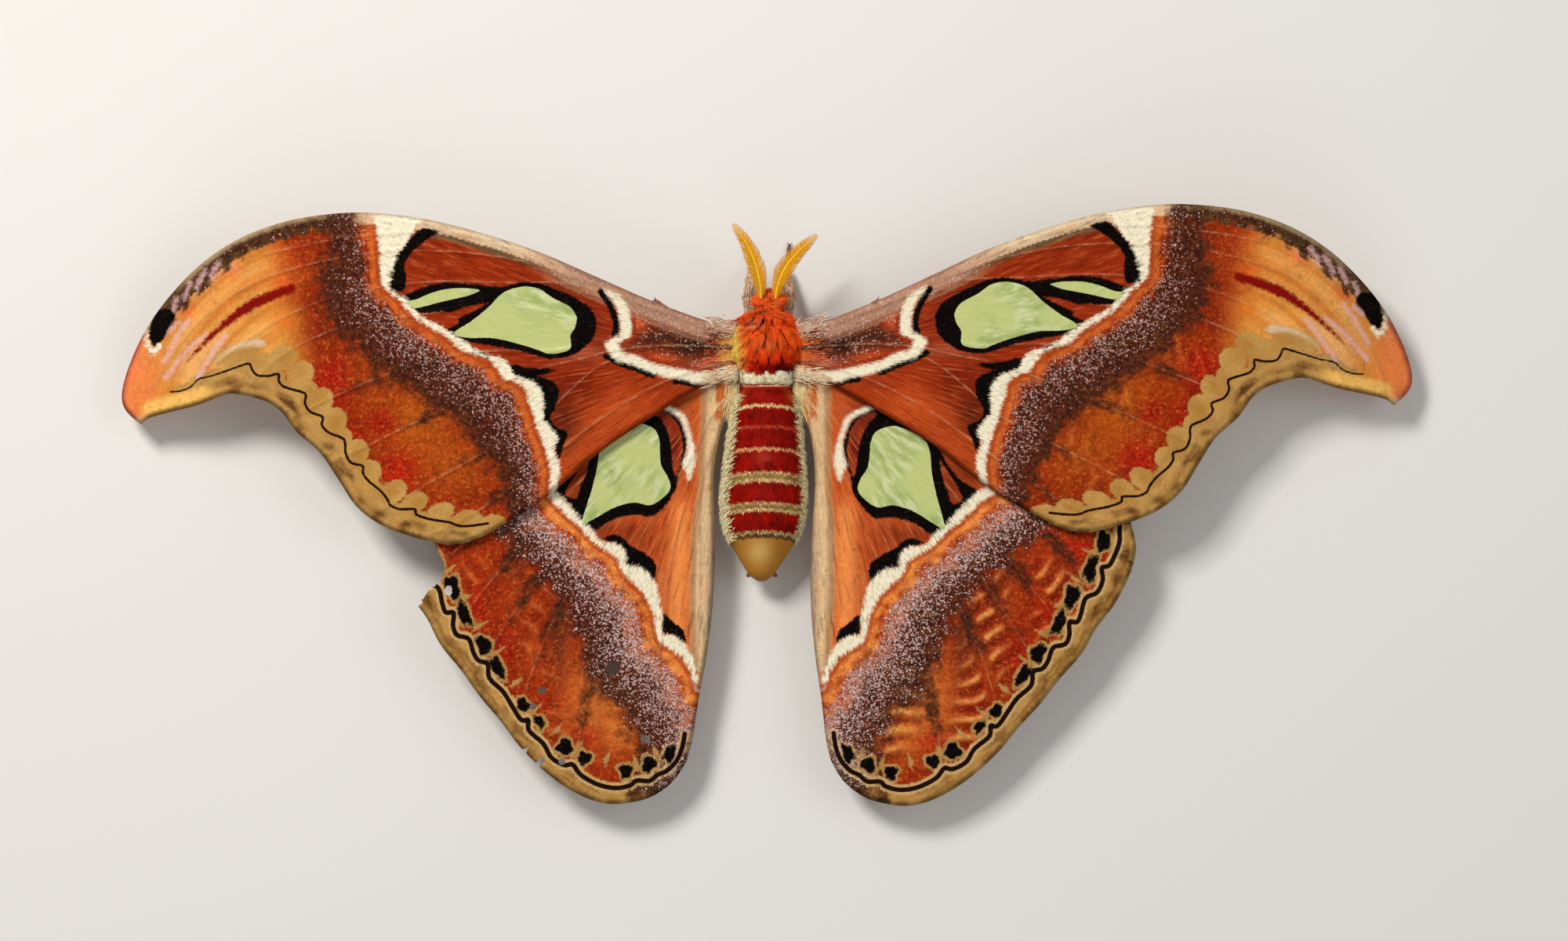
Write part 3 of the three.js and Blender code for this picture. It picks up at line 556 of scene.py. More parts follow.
def thorns(items):
    found = []
    for a, b in zip(items[:-1], items[1:]):
        run = np.array(b[:2]) - np.array(a[:2])
        out = np.array([run[1], -run[0]]) / np.hypot(*run)
        middle = (np.array(a[:2]) + np.array(b[:2])) / 2 + out * thornShape["inward"]
        lean = math.degrees(math.atan2(-out[0], out[1]))
        found.append((*middle, thornShape["wide"], thornShape["tall"], lean))
    return found


def marginGround(p, ground, beyond, edge):
    x, y = p.T
    blotch = 0.5 + 0.5 * np.sin(x * 0.62 + 1.7 * np.sin(y * 0.5)) * np.cos(y * 0.55 + 0.6)
    patchy = 0.5 + 0.5 * np.sin(x * 1.3 - y * 1.1 + 2 * np.sin(y * 0.8))
    dark = hump(edge, 1.0 + 0.9 * patchy, 2.2 + 0.9 * blotch, 0.5) * ease(0.7, 1.3, beyond)
    margin = tints(
        plain((180, 136, 72), len(p)),
        (hump(beyond, 0.1, 0.9, 0.3) * (0.4 + 0.6 * patchy), (214, 174, 112)),
        (dark * ease(0.25, 0.7, blotch), (102, 66, 32)),
        (ease(1.4, 0.6, edge) * ease(0.35, 0.8, patchy) * 0.7, (208, 168, 106)),
        (ease(1.2, 0.2, edge) * ease(0.6, 0.2, patchy) * 0.5, (108, 72, 34)),
    )
    return np.where((beyond > -0.45)[:, None], margin, ground)


def forePattern(p, edge, vein):
    x, y = p.T
    marks = foreMarks
    beyond = field(p, marks["lineOut"], marks["lineEnds"], 60)
    basal = field(p, marks["inner"][:14], marks["innerEnds"], 30)
    outside = field(p, marks["wave"], marks["waveEnds"], 20)
    front = near(p, smooth(foreShape["front"]), 40)
    toTip = ease(80, 89, x - 0.25 * (y - 36)) * ease(23, 28, y + 0.2 * (x - 90))
    # Bands that follow the leading edge, used below as the painted light and shade of folds at the tip
    sheen = 0.5 + 0.5 * np.sin(front * 1.35)
    uneven = 0.5 + 0.5 * np.sin(x * 1.2 + 2 * np.sin(y * 0.8)) * np.cos(y * 1.4 - x * 0.5)
    middle = blots(p, plain(rust, len(p)), foreBlots["middle"])
    root = blots(p, plain(mahogany, len(p)), foreBlots["root"])
    outer = blots(p, plain((146, 42, 10), len(p)), foreBlots["outer"])
    outer = tints(
        blots(p, tint(outer, toTip, (210, 136, 54)), foreBlots["tip"]),
        (ease(110, 113.5, x + 0.2 * (30 - y)) * 0.8, tipRed),
        (ease(1.3, 0.3, edge) * ease(111, 113, x) * 0.7, (206, 92, 92)),
        # Amber folds between the veins, running out to the tip: painted highlight on their crests and painted
        # shade between them
        (toTip * sheen * hump(x, 88, 107, 4) * 0.5, (244, 186, 108)),
        (toTip * ease(0.75, 1, 1 - sheen) * hump(x, 86, 107, 4) * 0.4, (196, 108, 42)),
        (hump(beyond, 0, 0.9 + 1.6 * uneven, 0.9) * 0.85, (212, 110, 48)),
    )
    ground = np.where((basal > 0)[:, None], root, middle)
    ground = np.where((beyond > -0.4)[:, None], outer, ground)
    ground = marginGround(p, ground, np.where(x < 107, outside, -1), edge)
    rim = 2.7 + 0.5 * ease(92, 97, x) + 0.4 * np.sin(x * 1.7 + np.sin(x * 0.6))
    nearRoot = ease(8, 12, x) * ease(44, 36, x)
    nearTip = ease(70, 77, x) * ease(113, 107, x)
    below = ease(97, 103, x)
    ground = tints(
        ground,
        # The hook of the margin below the tip
        (below * ease(114.5, 112.5, x) * ease(3.6, 2.2, edge) * ease(26.5, 24, y), (244, 190, 100)),
        (below * ease(115, 113.5, x) * ease(0.5, 0.2, edge) * ease(26, 24, y), (150, 104, 56)),
        (blob(p, 114.2, 18.9, 1.6, 0.9), (244, 220, 180)),
        # The leading edge
        (ease(3.8, 2.4, front) * nearRoot, (176, 134, 108)),
        (hump(front, 0.9, 2.7, 0.4) * ease(36, 44, x) * ease(63, 60, x), (112, 84, 58)),
        (ease(1.5, 0.8, front) * ease(30, 44, x) * ease(80, 72, x), (238, 218, 182)),
        (ease(rim, rim - 0.8, front) * nearTip, (96, 70, 38)),
        (hump(front, 0.9, 1.6, 0.3) * ease(72, 78, x) * ease(113, 107, x) * 0.7, (58, 42, 26)),
        (ease(0.35, 0.15, front) * ease(70, 78, x) * ease(108, 103, x), (196, 170, 130)),
    )
    wing = {"hair": ease(1, -3, beyond), "vein": np.where(outside > -0.3, away, vein)}
    # The dark band outside the white line, with fingers along the veins, and the band at the leading edge
    wide = 11.0 - 4.2 * ease(14, 2, y) - 1.0 * ease(40, 48, y)
    finger = ease(2.2, 0.4, vein) * ease(wide + 10, wide + 2, beyond) * ease(84, 76, x) * 0.5
    dusk = ease(0.8, 4.4, beyond) * np.maximum(ease(wide + 4, wide - 4, beyond), finger)
    shaded = ease(rim + 0.6, rim - 0.8, front) * ease(0.4, 1.0, front) * nearTip
    wing["dusk"] = np.maximum(dusk * (1 - 0.3 * ease(42, 50, y)), shaded * 0.55)
    frost = ease(1.0, 2.6, beyond) * ease(wide, 2.4, beyond) * (1 - 0.55 * ease(34, 46, y))
    frost = frost + 0.5 * ease(3.2, 2.4, front) * nearRoot + 0.26 * (basal > 0)
    wing["frost"] = np.maximum(frost, shaded * 0.12)
    # Round patches inside the dark wave
    lobes = np.maximum(spots(p, marks["lobes"]), np.where(x < 92, 0.9 + outside, -away))
    arc = near(p, smooth(marks["arc"]))
    wing["patch"] = np.minimum(lobes, 0.15 - outside)
    wing["patchColor"] = tints(
        plain((200, 150, 76), len(p)),
        (0.5 + 0.5 * np.sin(x * 0.7 + y * 0.6), (182, 126, 54)),
        (ease(1.3, 0.2, arc + 0.1 * (x - 92)) * 0.9, (244, 218, 200)),
        (ease(2.4, 0.2, lobes) * 0.32, (218, 176, 112)),
    )
    lines = np.maximum(area(p, closed(marks["lineIn"], marks["lineOut"])), band(p, marks["crescent"], 0.36))
    wing["white"] = np.maximum(lines, area(p, loop(marks["inner"], 4)))
    wing["window"] = rings(p, [marks["bigWindow"], marks["smallWindow"]], 5)
    hairs = np.max([band(p, path, 0.55) for path in marks["hairs"]], 0)
    blacks = np.maximum(rings(p, marks["blacks"], 4), np.maximum(hairs, area(p, loop(marks["eye"]))))
    wing["black"] = np.minimum(blacks, -area(p, loop(marks["slip"])))
    wing["wave"] = 0.17 + 0.06 * ease(104, 86, x) - near(p, smooth(marks["wave"], 5))
    wing["streak"] = area(p, loop(marks["streak"], 4))
    pinks = [band(p, path, 0.32) for path in marks["pinks"]]
    gleams = [band(p, path, 0.3) for path in marks["gleams"]]
    wing["pink"] = np.max(pinks + gleams, 0)
    wing["grain"] = ease(0, 1.2, beyond) * (1 - toTip) * ease(0, -1, outside)
    wing["fold"] = 0.4 * ease(3, 8, beyond) * ease(90, 74, x)
    return ground, wing


hindBlots = {
    "middle": [
        (18.4, 15.4, 2.4, 2.4, 0.7, (112, 36, 16)), (20, 19, 6, 2, 0.5, (150, 58, 30)),
        (20, -16, 6, 12, 0.4, (178, 74, 32)), (21, -6, 5, 5, 0.6, (166, 66, 32)),
        (16, -14, 2, 10, 0.5, (206, 118, 66)), (34, 4, 6, 8, 0.7, (124, 42, 20)),
        (28.5, -4.6, 3, 2, 0.7, (120, 36, 12)), (24, -5.4, 3, 2, 0.7, (136, 48, 16)),
        (16, 11, 1.6, 5, 0.95, (112, 26, 14)), (18.4, 16, 2.6, 1.6, 0.9, (104, 24, 12)),
    ],
    "outer": [
        (29, -35, 7, 9, 0.9, (212, 116, 50)), (24, -41, 5, 4, 0.8, (214, 122, 50)),
        (16, -38, 3, 5, 0.7, (204, 92, 48)), (52, -10, 6, 8, 0.6, (176, 60, 22)),
        (56.5, -7.6, 2.2, 2.6, 0.8, (172, 28, 12)), (50.6, -19.4, 2, 3, 0.8, (168, 26, 12)),
        (45.4, -27.4, 2.2, 3.4, 0.8, (160, 24, 12)), (37.6, -35.6, 2.2, 2.6, 0.7, (164, 34, 16)),
        (30, -42.8, 2.4, 2.2, 0.7, (176, 40, 20)), (43, -18, 3, 4, 0.5, (196, 82, 34)),
        (40, -27, 2.4, 4, 0.5, (206, 96, 40)), (35.4, -22.6, 1.6, 8, 0.6, (84, 50, 36)),
        (27.4, -27, 1.8, 8, 0.7, (80, 52, 42)), (18.4, -31, 1.6, 7, 0.5, (90, 58, 48)),
        (43.6, -9, 1.8, 6, 0.6, (92, 46, 30)),
    ],
}


def hindPattern(p, edge, vein):
    x, y = p.T
    marks = hindMarks
    beyond = field(p, marks["lineOut"], marks["lineEnds"], 60)
    outside = field(p, marks["wave"], marks["waveEnds"], 20)
    inner = 11.4 + 0.8 * ease(6, -6, y) - 0.6 * ease(-14, -26, y)
    ground = tints(
        blots(p, plain((196, 84, 32), len(p)), hindBlots["middle"]),
        (hump(x, 12.6, 16, 1.6) * ease(4, -2, y) * 0.85, (248, 152, 80)),
        (ease(inner + 0.9, inner - 0.7, x), (222, 190, 146)),
        (ease(9.8, 8.8, x) * ease(2, -6, y) * 0.7, (170, 146, 126)),
        (hump(x, inner - 0.9, inner + 0.1, 0.3) * 0.5, (146, 100, 66)),
    )
    uneven = 0.5 + 0.5 * np.sin(x * 1.1 + 2 * np.sin(y * 0.7)) * np.cos(y * 1.3 - x * 0.4)
    outer = tints(
        blots(p, plain((150, 42, 12), len(p)), hindBlots["outer"]),
        (hump(beyond, 0, 1.4 + 1.4 * uneven, 1.0) * (0.55 + 0.4 * uneven), (250, 160, 78)),
        (hump(beyond, 3, 7, 1.4) * 0.7, (196, 132, 100)),
    )
    ground = np.where((beyond > -0.4)[:, None], outer, ground)
    ground = marginGround(p, ground, outside, edge)
    ground = tint(ground, hump(edge, 1.1, 1.7, 0.35) * ease(0.8, 1.3, outside) * 0.6, (120, 78, 34))
    wing = {"hair": ease(1, -3, beyond), "vein": np.where(outside > -0.3, away, vein)}
    wide = 9.5 + 3.5 * ease(-14, -26, y)
    finger = ease(2.6, 0.4, vein) * ease(wide + 15, wide + 2, beyond) * 0.62
    wing["dusk"] = ease(1.6, 8.5, beyond) * np.maximum(ease(wide + 4, wide - 3, beyond), finger)
    wing["frost"] = ease(1.4, 3.2, beyond) * ease(wide + 3, 4.0, beyond) * 1.15
    # Ragged tan frames round the dark spots inside the wave
    grown = [(cx, cy, wide + 1.1, tall + 1.1, lean) for cx, cy, wide, tall, lean in marks["spots"]]
    frames = np.maximum(spots(p, grown, 2.6, 0.12), spots(p, thorns(marks["spots"]), 1.2, 0.2))
    wing["patch"] = np.minimum(np.maximum(frames, 0.62 + outside), 0.1 - outside)
    wing["patchColor"] = tint(plain((190, 144, 82), len(p)), ease(-1.0, -0.4, outside), (216, 178, 120))
    lines = area(p, closed(marks["lineIn"], marks["lineOut"]))
    wing["white"] = np.maximum(lines, area(p, loop(marks["inner"], 4)) - 0.1)
    wing["window"] = area(p, loop(marks["window"]))
    blacks = np.minimum(rings(p, marks["blacks"], 4), -rings(p, [marks["mahogany"], marks["slit"]], 5))
    wing["black"] = np.maximum(blacks, spots(p, marks["spots"], 3.0, 0.13))
    wing["wave"] = 0.42 - near(p, smooth(marks["wave"], 5))
    wing["streak"] = wing["pink"] = np.full(len(p), -away)
    wing["grain"] = ease(0, 1.2, beyond) * ease(0, -1, outside)
    wing["fold"] = ease(5, 10, beyond) * ease(-6, -14, y) * ease(0.5, -1.5, outside)
    return ground, wing


def spaced(line, step):
    run = np.concatenate([[0], np.cumsum(np.hypot(*np.diff(line, axis=0).T))])
    count = max(2, int(run[-1] / step))
    at = np.linspace(0, run[-1], count, endpoint=False)
    return np.stack([np.interp(at, run, line[:, i]) for i in range(2)], 1)


# Height of the wings' middle surface, as in the part's source
sheet = {
    "hinge": 8, "height": 12.2, "climb": 0.075, "arch": 0.00078, "tipFrom": 84, "tipDrop": 0.009,
    "level": 28, "slope": 0.055, "frontFrom": 34, "frontDrop": 0.0007,
}


def sheetHeight(x, y):
    out = x - sheet["hinge"]
    arch = sheet["height"] + sheet["climb"] * out - sheet["arch"] * out * out
    tip = sheet["tipDrop"] * np.maximum(0, out - sheet["tipFrom"]) ** 2
    front = sheet["frontDrop"] * np.maximum(0, y - sheet["frontFrom"]) ** 2
    return arch - tip + sheet["slope"] * (y - sheet["level"]) - front


def setValues(mesh, name, values):
    layer = mesh.attributes.new(name, "FLOAT", "POINT")
    layer.data.foreach_set("value", np.ascontiguousarray(values, np.float32))


def setColors(mesh, name, colors):
    values = np.hstack([linear(colors), np.ones((len(colors), 1))])
    layer = mesh.attributes.new(name, "FLOAT_COLOR", "POINT")
    layer.data.foreach_set("color", values.astype(np.float32).ravel())


def newPiece(name, mesh, material, nodes):
    piece = bpy.data.objects.new(name, mesh)
    scene.collection.objects.link(piece)
    mesh.materials.append(material)
    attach(piece, "root")
    if nodes:
        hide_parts(*nodes)
    print(name, len(mesh.polygons), "faces")


def flatWing(shape, step, pattern):
    ring = np.vstack([smooth(shape["front"]), smooth(shape["outer"])[1:], smooth(shape["hind"])[::-1][1:]])
    border = spaced(np.vstack([ring, ring[:1]]), step)
    around = np.vstack([border, border[:1]])
    low, high = border.min(0), border.max(0)
    rise = step * math.sqrt(3) / 2
    ys = np.arange(low[1], high[1], rise)
    xs = np.arange(low[0], high[0], step)
    lattice = np.vstack([np.stack([xs + (i % 2) * step / 2, xs * 0 + y], 1) for i, y in enumerate(ys)])
    lattice = lattice[inside(lattice, border)]
    lattice = lattice[near(lattice, around, 2) > step * 0.5]
    points = np.vstack([border, lattice])
    found = geometry.delaunay_2d_cdt([Vector(q) for q in points], [], [], 0, 1e-7)
    p = np.array([tuple(v) for v in found[0]])
    order = np.array([ids[0] for ids in found[3]])
    faces = np.array([f for f in found[2] if len(f) == 3])
    faces = faces[inside(p[faces].mean(1), border)]
    edge = near(p, around)
    edge[order < len(border)] = 0
    vein = np.min([near(p, smooth(path)) for path in shape["veins"]], 0)
    ground, marks = pattern(p, edge, vein)
    flat = {"hinge": shape["hinge"], "p": p, "faces": faces, "edge": edge, "vein": vein}
    return {**flat, "ground": ground, "marks": marks}


wingSheet = {
    "half": 0.16, "ridge": 0.34, "ridgeWidth": 0.3, "ridgeFade": 230, "hindDrop": 1.6,
    "foldPitch": 3.3, "foldHeight": 0.26, "wornRim": 0.05,
}
wingValues = [
    "white", "window", "black", "wave", "patch", "frost", "dusk", "grain", "streak", "pink", "hair", "vein",
]


def makeWing(wing, flat, drop, material):
    s = wingSheet
    p, faces, edge, vein, marks = (flat[key] for key in ("p", "faces", "edge", "vein", "marks"))
    if wing["worn"]:
        torn = np.maximum(area(p, smooth(wornEdge, 4)), spots(p, wornHoles))
        faces = faces[torn[faces].max(1) < s["wornRim"]]
        edge = np.minimum(edge, np.maximum(-torn, s["wornRim"]))
    hx, hy = flat["hinge"]
    angle = math.radians(wing["turn"])
    dx, dy = p[:, 0] - hx, (p[:, 1] - hy) * wing["chord"]
    x = dx * math.cos(angle) - dy * math.sin(angle) + hx
    y = dx * math.sin(angle) + dy * math.cos(angle) + hy
    # Folds run across the wing and fade at the veins and edges
    theta, reach = np.arctan2(dy, dx), np.hypot(dx, dy)
    phase = 2.2 * np.sin(theta * 13) + 1.1 * np.sin(theta * 37 + reach * 0.11)
    wrinkle = np.sin(reach * 2 * math.pi / s["foldPitch"] + phase) * ease(0.5, 2.0, vein)
    wrinkle = wrinkle * (0.6 + 0.4 * np.sin(theta * 23 + reach * 0.31)) * marks["fold"] * wing["folds"]
    wrinkle = wrinkle * ease(0.6, 3, edge)
    # The folds' crests are painted gold and their troughs dark red: painted highlight and painted shade on
    # the folds
    ground = tints(
        flat["ground"],
        (np.clip(wrinkle - 0.15, 0, 1) * 0.95, (246, 184, 104)),
        (np.clip(-wrinkle - 0.1, 0, 1) * 0.8, (104, 24, 12)),
    )
    ridge = s["ridge"] * np.exp(-((vein / s["ridgeWidth"]) ** 2)) * ease(0, 1, edge)
    ridge = ridge * (1 - reach / s["ridgeFade"])
    half = s["half"] * ease(0, 0.5, edge)
    z = sheetHeight(x, y) - drop + s["foldHeight"] * wrinkle
    rim = np.flatnonzero(flat["edge"] == 0)
    under = np.arange(len(p)) + len(p)
    under[rim] = rim
    co = np.stack([wing["mirror"] * x + shift[0], y + shift[1], z + half + ridge], 1)
    down = np.stack([co[:, 0], co[:, 1], z - half - 0.35 * ridge], 1)
    co[rim, 2] = z[rim]
    co = np.vstack([co, down]) * mm
    top = faces if wing["mirror"] > 0 else faces[:, ::-1]
    both = np.vstack([top, under[top][:, ::-1]])
    used, index = np.unique(both, return_inverse=True)
    mesh = bpy.data.meshes.new(wing["name"] + "Skin")
    mesh.from_pydata(co[used].tolist(), [], index.reshape(both.shape).tolist())
    at = used % len(p)
    setColors(mesh, "ground", ground[at])
    setColors(mesh, "patchColor", marks["patchColor"][at])
    for key in wingValues:
        setValues(mesh, key, marks[key][at])
    setValues(mesh, "ray", (theta * 40)[at])
    setValues(mesh, "reach", reach[at])
    setValues(mesh, "under", used >= len(p))
    # The top takes the lower half of the patch and the underside the upper half
    low = p.min(0)
    size = (p.max(0) - low).max() * 1.04
    uv = (p - low + size * 0.02) / size * 0.5
    uvs = np.vstack([uv[faces].reshape(-1, 2), uv[faces[:, ::-1]].reshape(-1, 2)])
    uvs[len(uvs) // 2 :, 1] += 0.5
    mesh.uv_layers.new(name="OFBake").data.foreach_set("uv", uvs.astype(np.float32).ravel())
    mesh.polygons.foreach_set("use_smooth", np.ones(len(both), bool))
    newPiece(wing["name"] + "Skin", mesh, material, [wing["name"]])


paint = {
    "gold": (222, 132, 52), "deep": (104, 24, 12), "furrow": (62, 24, 14), "dusk": (44, 24, 18),
    "duskWarm": (94, 46, 26), "patchDark": (112, 66, 20), "dust": (150, 100, 84), "pink": (232, 182, 178),
    "streak": streakRed, "black": black, "blackWarm": (58, 36, 26), "white": white,
    # A darker white, painted as shade between the white tufts
    "whiteInShade": (206, 192, 152), "whiteSoft": (214, 202, 172), "wave": (30, 14, 9),
    # The windows: painted light seen through the clear membrane, its painted highlights and the painted shade
    # in its creases
    "backlitGreen": (158, 176, 94), "backlitHighlight": (214, 220, 164), "backlitPatch": (196, 204, 128),
    "crease": (124, 148, 72), "below": (176, 132, 92),
}
paint = {key: rgba(color) for key, color in paint.items()}


def wingMaterial(name, look):
    material, n, shader = newMaterial(name)
    place = n.place()
    cell = n.cells(place, 5.2)
    grain, other = n.part(cell, 0), n.part(cell, 1)
    wander = n.plus(n.swing(n.noise(place, 1.3, 5.0, 0.75), 1.6), n.swing(grain, 0.34))

    def mask(key, amount, low, high):
        return n.step(n.plus(n.value(key), n.times(wander, amount)), low, high)

    def combed(length, scale, rough):
        return n.noise(n.join(n.value("ray"), n.times(n.value("reach"), length)), scale, 4.0, rough)

    color = n.color("ground")
    warm = n.blend(1.0, color, (1.34, 1.24, 1.1, 1.0), "MULTIPLY")
    cool = n.blend(1.0, color, (0.6, 0.5, 0.48, 1.0), "MULTIPLY")
    mottled = n.blend(n.step(n.noise(place, 0.9, 4.0, 0.65), 0.32, 0.68), cool, warm)
    color = n.blend(n.span(n.value("grain"), 0.22, 0.62), color, mottled)
    broad = n.step(n.noise(place, 0.22, 3.0), 0.35, 0.65)
    color = n.blend(n.span(broad, 0.0, 0.3), color, warm)
    # Gold and dark scales scattered over the outer field
    fleck = n.noise(place, 1.5, 5.0, 0.72)
    gold = n.times(n.step(fleck, 0.53, 0.66), n.times(n.value("grain"), look["gold"]))
    color = n.blend(gold, color, paint["gold"])
    deep = n.times(n.step(fleck, 0.46, 0.34), n.times(n.value("grain"), 0.5))
    color = n.blend(deep, color, paint["deep"])
    speckle = n.span(grain, look["dark"], look["light"])
    speckled = n.add("CombineColor", {0: speckle, 1: speckle, 2: speckle})
    speckled = n.blend(1.0, color, speckled, "MULTIPLY")
    color = n.blend(n.span(n.value("grain"), 0.5, 1.0), color, speckled)
    # Long hair-like scales near the body run outwards from the hinge
    strand = combed(0.1, 1.7, 0.62)
    hairs = n.times(n.step(strand, 0.5, 0.72), n.times(n.value("hair"), 0.6))
    color = n.blend(hairs, color, rgba(look["hair"]))
    furrows = n.times(n.step(strand, 0.5, 0.3), n.times(n.value("hair"), 0.55))
    color = n.blend(furrows, color, paint["furrow"])
    broken = n.span(n.step(n.noise(place, 0.6, 3.0), 0.42, 0.6), 0.25, 1.0)
    veinLine = n.times(n.times(n.step(n.value("vein"), 0.24, 0.1), broken), look["veinStrength"])
    color = n.blend(veinLine, color, rgba(look["vein"]))
    # A dark band outside the white line
    ragged = n.noise(place, 0.42, 5.0, 0.68)
    dusk = n.step(n.plus(n.value("dusk"), n.swing(ragged, 1.9)), 0.12, 0.72)
    duskColor = n.blend(n.step(n.noise(place, 1.6, 3.0), 0.4, 0.65), paint["dusk"], paint["duskWarm"])
    color = n.blend(n.times(dusk, 0.92), color, duskColor)
    patchColor = n.blend(n.span(grain, 0.0, 0.3), n.color("patchColor"), paint["patchDark"])
    color = n.blend(mask("patch", look["ragged"], -0.12, 0.12), color, patchColor)
    # Pale lilac scales dusted over the band: more of them where there is more frost
    dust = n.cells(place, look["dustSize"])
    crowd = n.plus(n.value("frost"), n.swing(ragged, 1.3))
    threshold = n.math("SUBTRACT", 1.0, n.times(crowd, look["frost"]))
    specks = n.step(n.math("SUBTRACT", n.part(dust, 0), threshold), -0.02, 0.05)
    specks = n.times(specks, n.step(n.value("frost"), 0.0, 0.12))
    dustColor = n.blend(n.part(dust, 1), rgba(look["dust"]), paint["dust"])
    color = n.blend(n.times(specks, 0.85), color, dustColor)
    color = n.blend(n.times(mask("pink", 1.2, -0.6, 0.5), 0.75), color, paint["pink"])
    color = n.blend(mask("streak", 1.0, -0.4, 0.3), color, paint["streak"])
    blackMask = mask("black", 0.6, -0.18, 0.16)
    color = n.blend(blackMask, color, n.blend(n.step(grain, 0.93, 1.0), paint["black"], paint["blackWarm"]))
    # White scales lie as combed tufts across the line
    feather = combed(0.3, 2.8, 0.66)
    tufted = n.plus(n.swing(feather, 2.1), n.times(wander, 0.5))
    # Between the combed tufts the white is painted darker: painted shade
    whiteColor = n.blend(n.step(feather, 0.3, 0.56), paint["whiteInShade"], paint["white"])
    whiteColor = n.blend(n.span(other, 0.0, 0.2), whiteColor, paint["whiteSoft"])
    color = n.blend(n.step(n.plus(n.value("white"), tufted), -0.5, 0.34), color, whiteColor)
    color = n.blend(mask("wave", 0.12, -0.08, 0.06), color, paint["wave"])
    # The clear windows: no scales, fine creases. Their yellow-green is painted light shining through from
    # behind, paler along the creases as painted highlights, with thin lines of painted shade in the creases
    crease = n.noise(n.join(n.times(n.value("ray"), 0.6), n.times(n.value("reach"), 0.22)), 0.9, 5.0, 0.6)
    backlitWindow = n.blend(n.step(crease, 0.36, 0.66), paint["backlitGreen"], paint["backlitHighlight"])
    backlitWindow = n.blend(n.step(n.noise(place, 0.12, 1.0), 0.42, 0.62), backlitWindow, paint["backlitPatch"])
    creaseShadeLine = n.step(n.math("ABSOLUTE", n.plus(crease, -0.5)), 0.012, 0.0)
    backlitWindow = n.blend(n.times(creaseShadeLine, 0.3), backlitWindow, paint["crease"])
    window = mask("window", 0.12, -0.05, 0.05)
    color = n.blend(window, color, backlitWindow)
    color = n.blend(n.value("under"), color, n.blend(0.45, color, paint["below"]))
    n.feed(shader.inputs["Base Color"], color)
    n.feed(shader.inputs["Roughness"], n.span(window, look["roughness"], 0.3))
    n.feed(shader.inputs["Specular IOR Level"], n.span(window, look["gloss"], 0.45))
    height = n.plus(n.times(grain, 0.03), n.times(n.times(crease, window), 0.35))
    height = n.plus(height, n.times(blackMask, -0.01))
    n.feed(shader.inputs["Normal"], n.bump(0.5, 1.0, height))
    return material


wingLook = {
    "dark": 0.74, "light": 1.22, "veinStrength": 0.4, "dustSize": 4.2, "roughness": 0.7, "gloss": 0.03,
}
foreLook = {
    **wingLook, "gold": 0.5, "ragged": 0.6, "frost": 0.37,
    "hair": (206, 108, 58), "vein": (206, 160, 118), "dust": (212, 178, 170),
}
hindLook = {
    **wingLook, "gold": 0.45, "ragged": 0.7, "frost": 0.46,
    "hair": (222, 140, 88), "vein": (200, 140, 96), "dust": (232, 208, 206),
}
foreWings = [
    {"name": "forewing_right", "mirror": 1, "turn": 0, "chord": 1, "folds": 1, "worn": False},
    {"name": "forewing_left", "mirror": -1, "turn": -1.8, "chord": 1.02, "folds": 0.5, "worn": False},
]
hindWings = [
    {"name": "hindwing_right", "mirror": 1, "turn": 0, "chord": 1, "folds": 1, "worn": False},
    {"name": "hindwing_left", "mirror": -1, "turn": 2.3, "chord": 1.005, "folds": 0.45, "worn": True},
]
foreFlat = flatWing(foreShape, 0.36, forePattern)
hindFlat = flatWing(hindShape, 0.34, hindPattern)
print("wing patterns ready", len(foreFlat["p"]), len(hindFlat["p"]))
foreMaterial = wingMaterial("foreWing", foreLook)
hindMaterial = wingMaterial("hindWing", hindLook)
for wing in foreWings:
    makeWing(wing, foreFlat, 0, foreMaterial)
for wing in hindWings:
    makeWing(wing, hindFlat, wingSheet["hindDrop"], hindMaterial)
print("wings ready")


def unit(v):
    return v / np.maximum(np.linalg.norm(v, axis=-1, keepdims=True), 1e-9)


def spread(count, seed):
    rng = np.random.default_rng(seed)
    golden = np.array([0.7548776662, 0.5698402910])
    return (rng.random(2) + np.arange(count)[:, None] * golden) % 1, rng


def meshOf(name, co, faces, uvs, color, smoothed=True):
    mesh = bpy.data.meshes.new(name)
    place = (co + np.array([shift[0], shift[1], 0])) * mm
    mesh.from_pydata(place.tolist(), [], faces.tolist())
    uvs = uvs[faces.ravel()].astype(np.float32)
    mesh.uv_layers.new(name="OFBake").data.foreach_set("uv", uvs.ravel())
    setColors(mesh, "fur", color)
    mesh.polygons.foreach_set("use_smooth", np.full(len(faces), smoothed))
    return mesh


# A tuft is a solid blade: three corners at its root, three half way along it and a tip
tuftShape = {
    "corners": np.array([(-1, 0), (1, 0), (0, 0.4), (-0.8, 0), (0.8, 0), (0, 0.34), (0, 0)]),
    "faces": np.array([
        (0, 1, 4), (0, 4, 3), (1, 2, 5), (1, 5, 4), (2, 0, 3), (2, 3, 5), (3, 4, 6), (4, 5, 6), (5, 3, 6),
    ]),
    "patch": np.array([(-1, -1), (1, -1), (0, -0.6), (-0.7, 0.2), (0.7, 0.2), (0, 0.4), (0, 1)]) * 0.0014,
    # Colour factors at the seven corners: painted shade at the root, deep in the coat, and painted light at
    # the tip
    "shade": np.array([0.66, 0.66, 0.66, 0.94, 0.94, 0.98, 1.14]),
    "sunk": 0.12, "reach": (0.48, 0.52), "droop": 0.35,
}


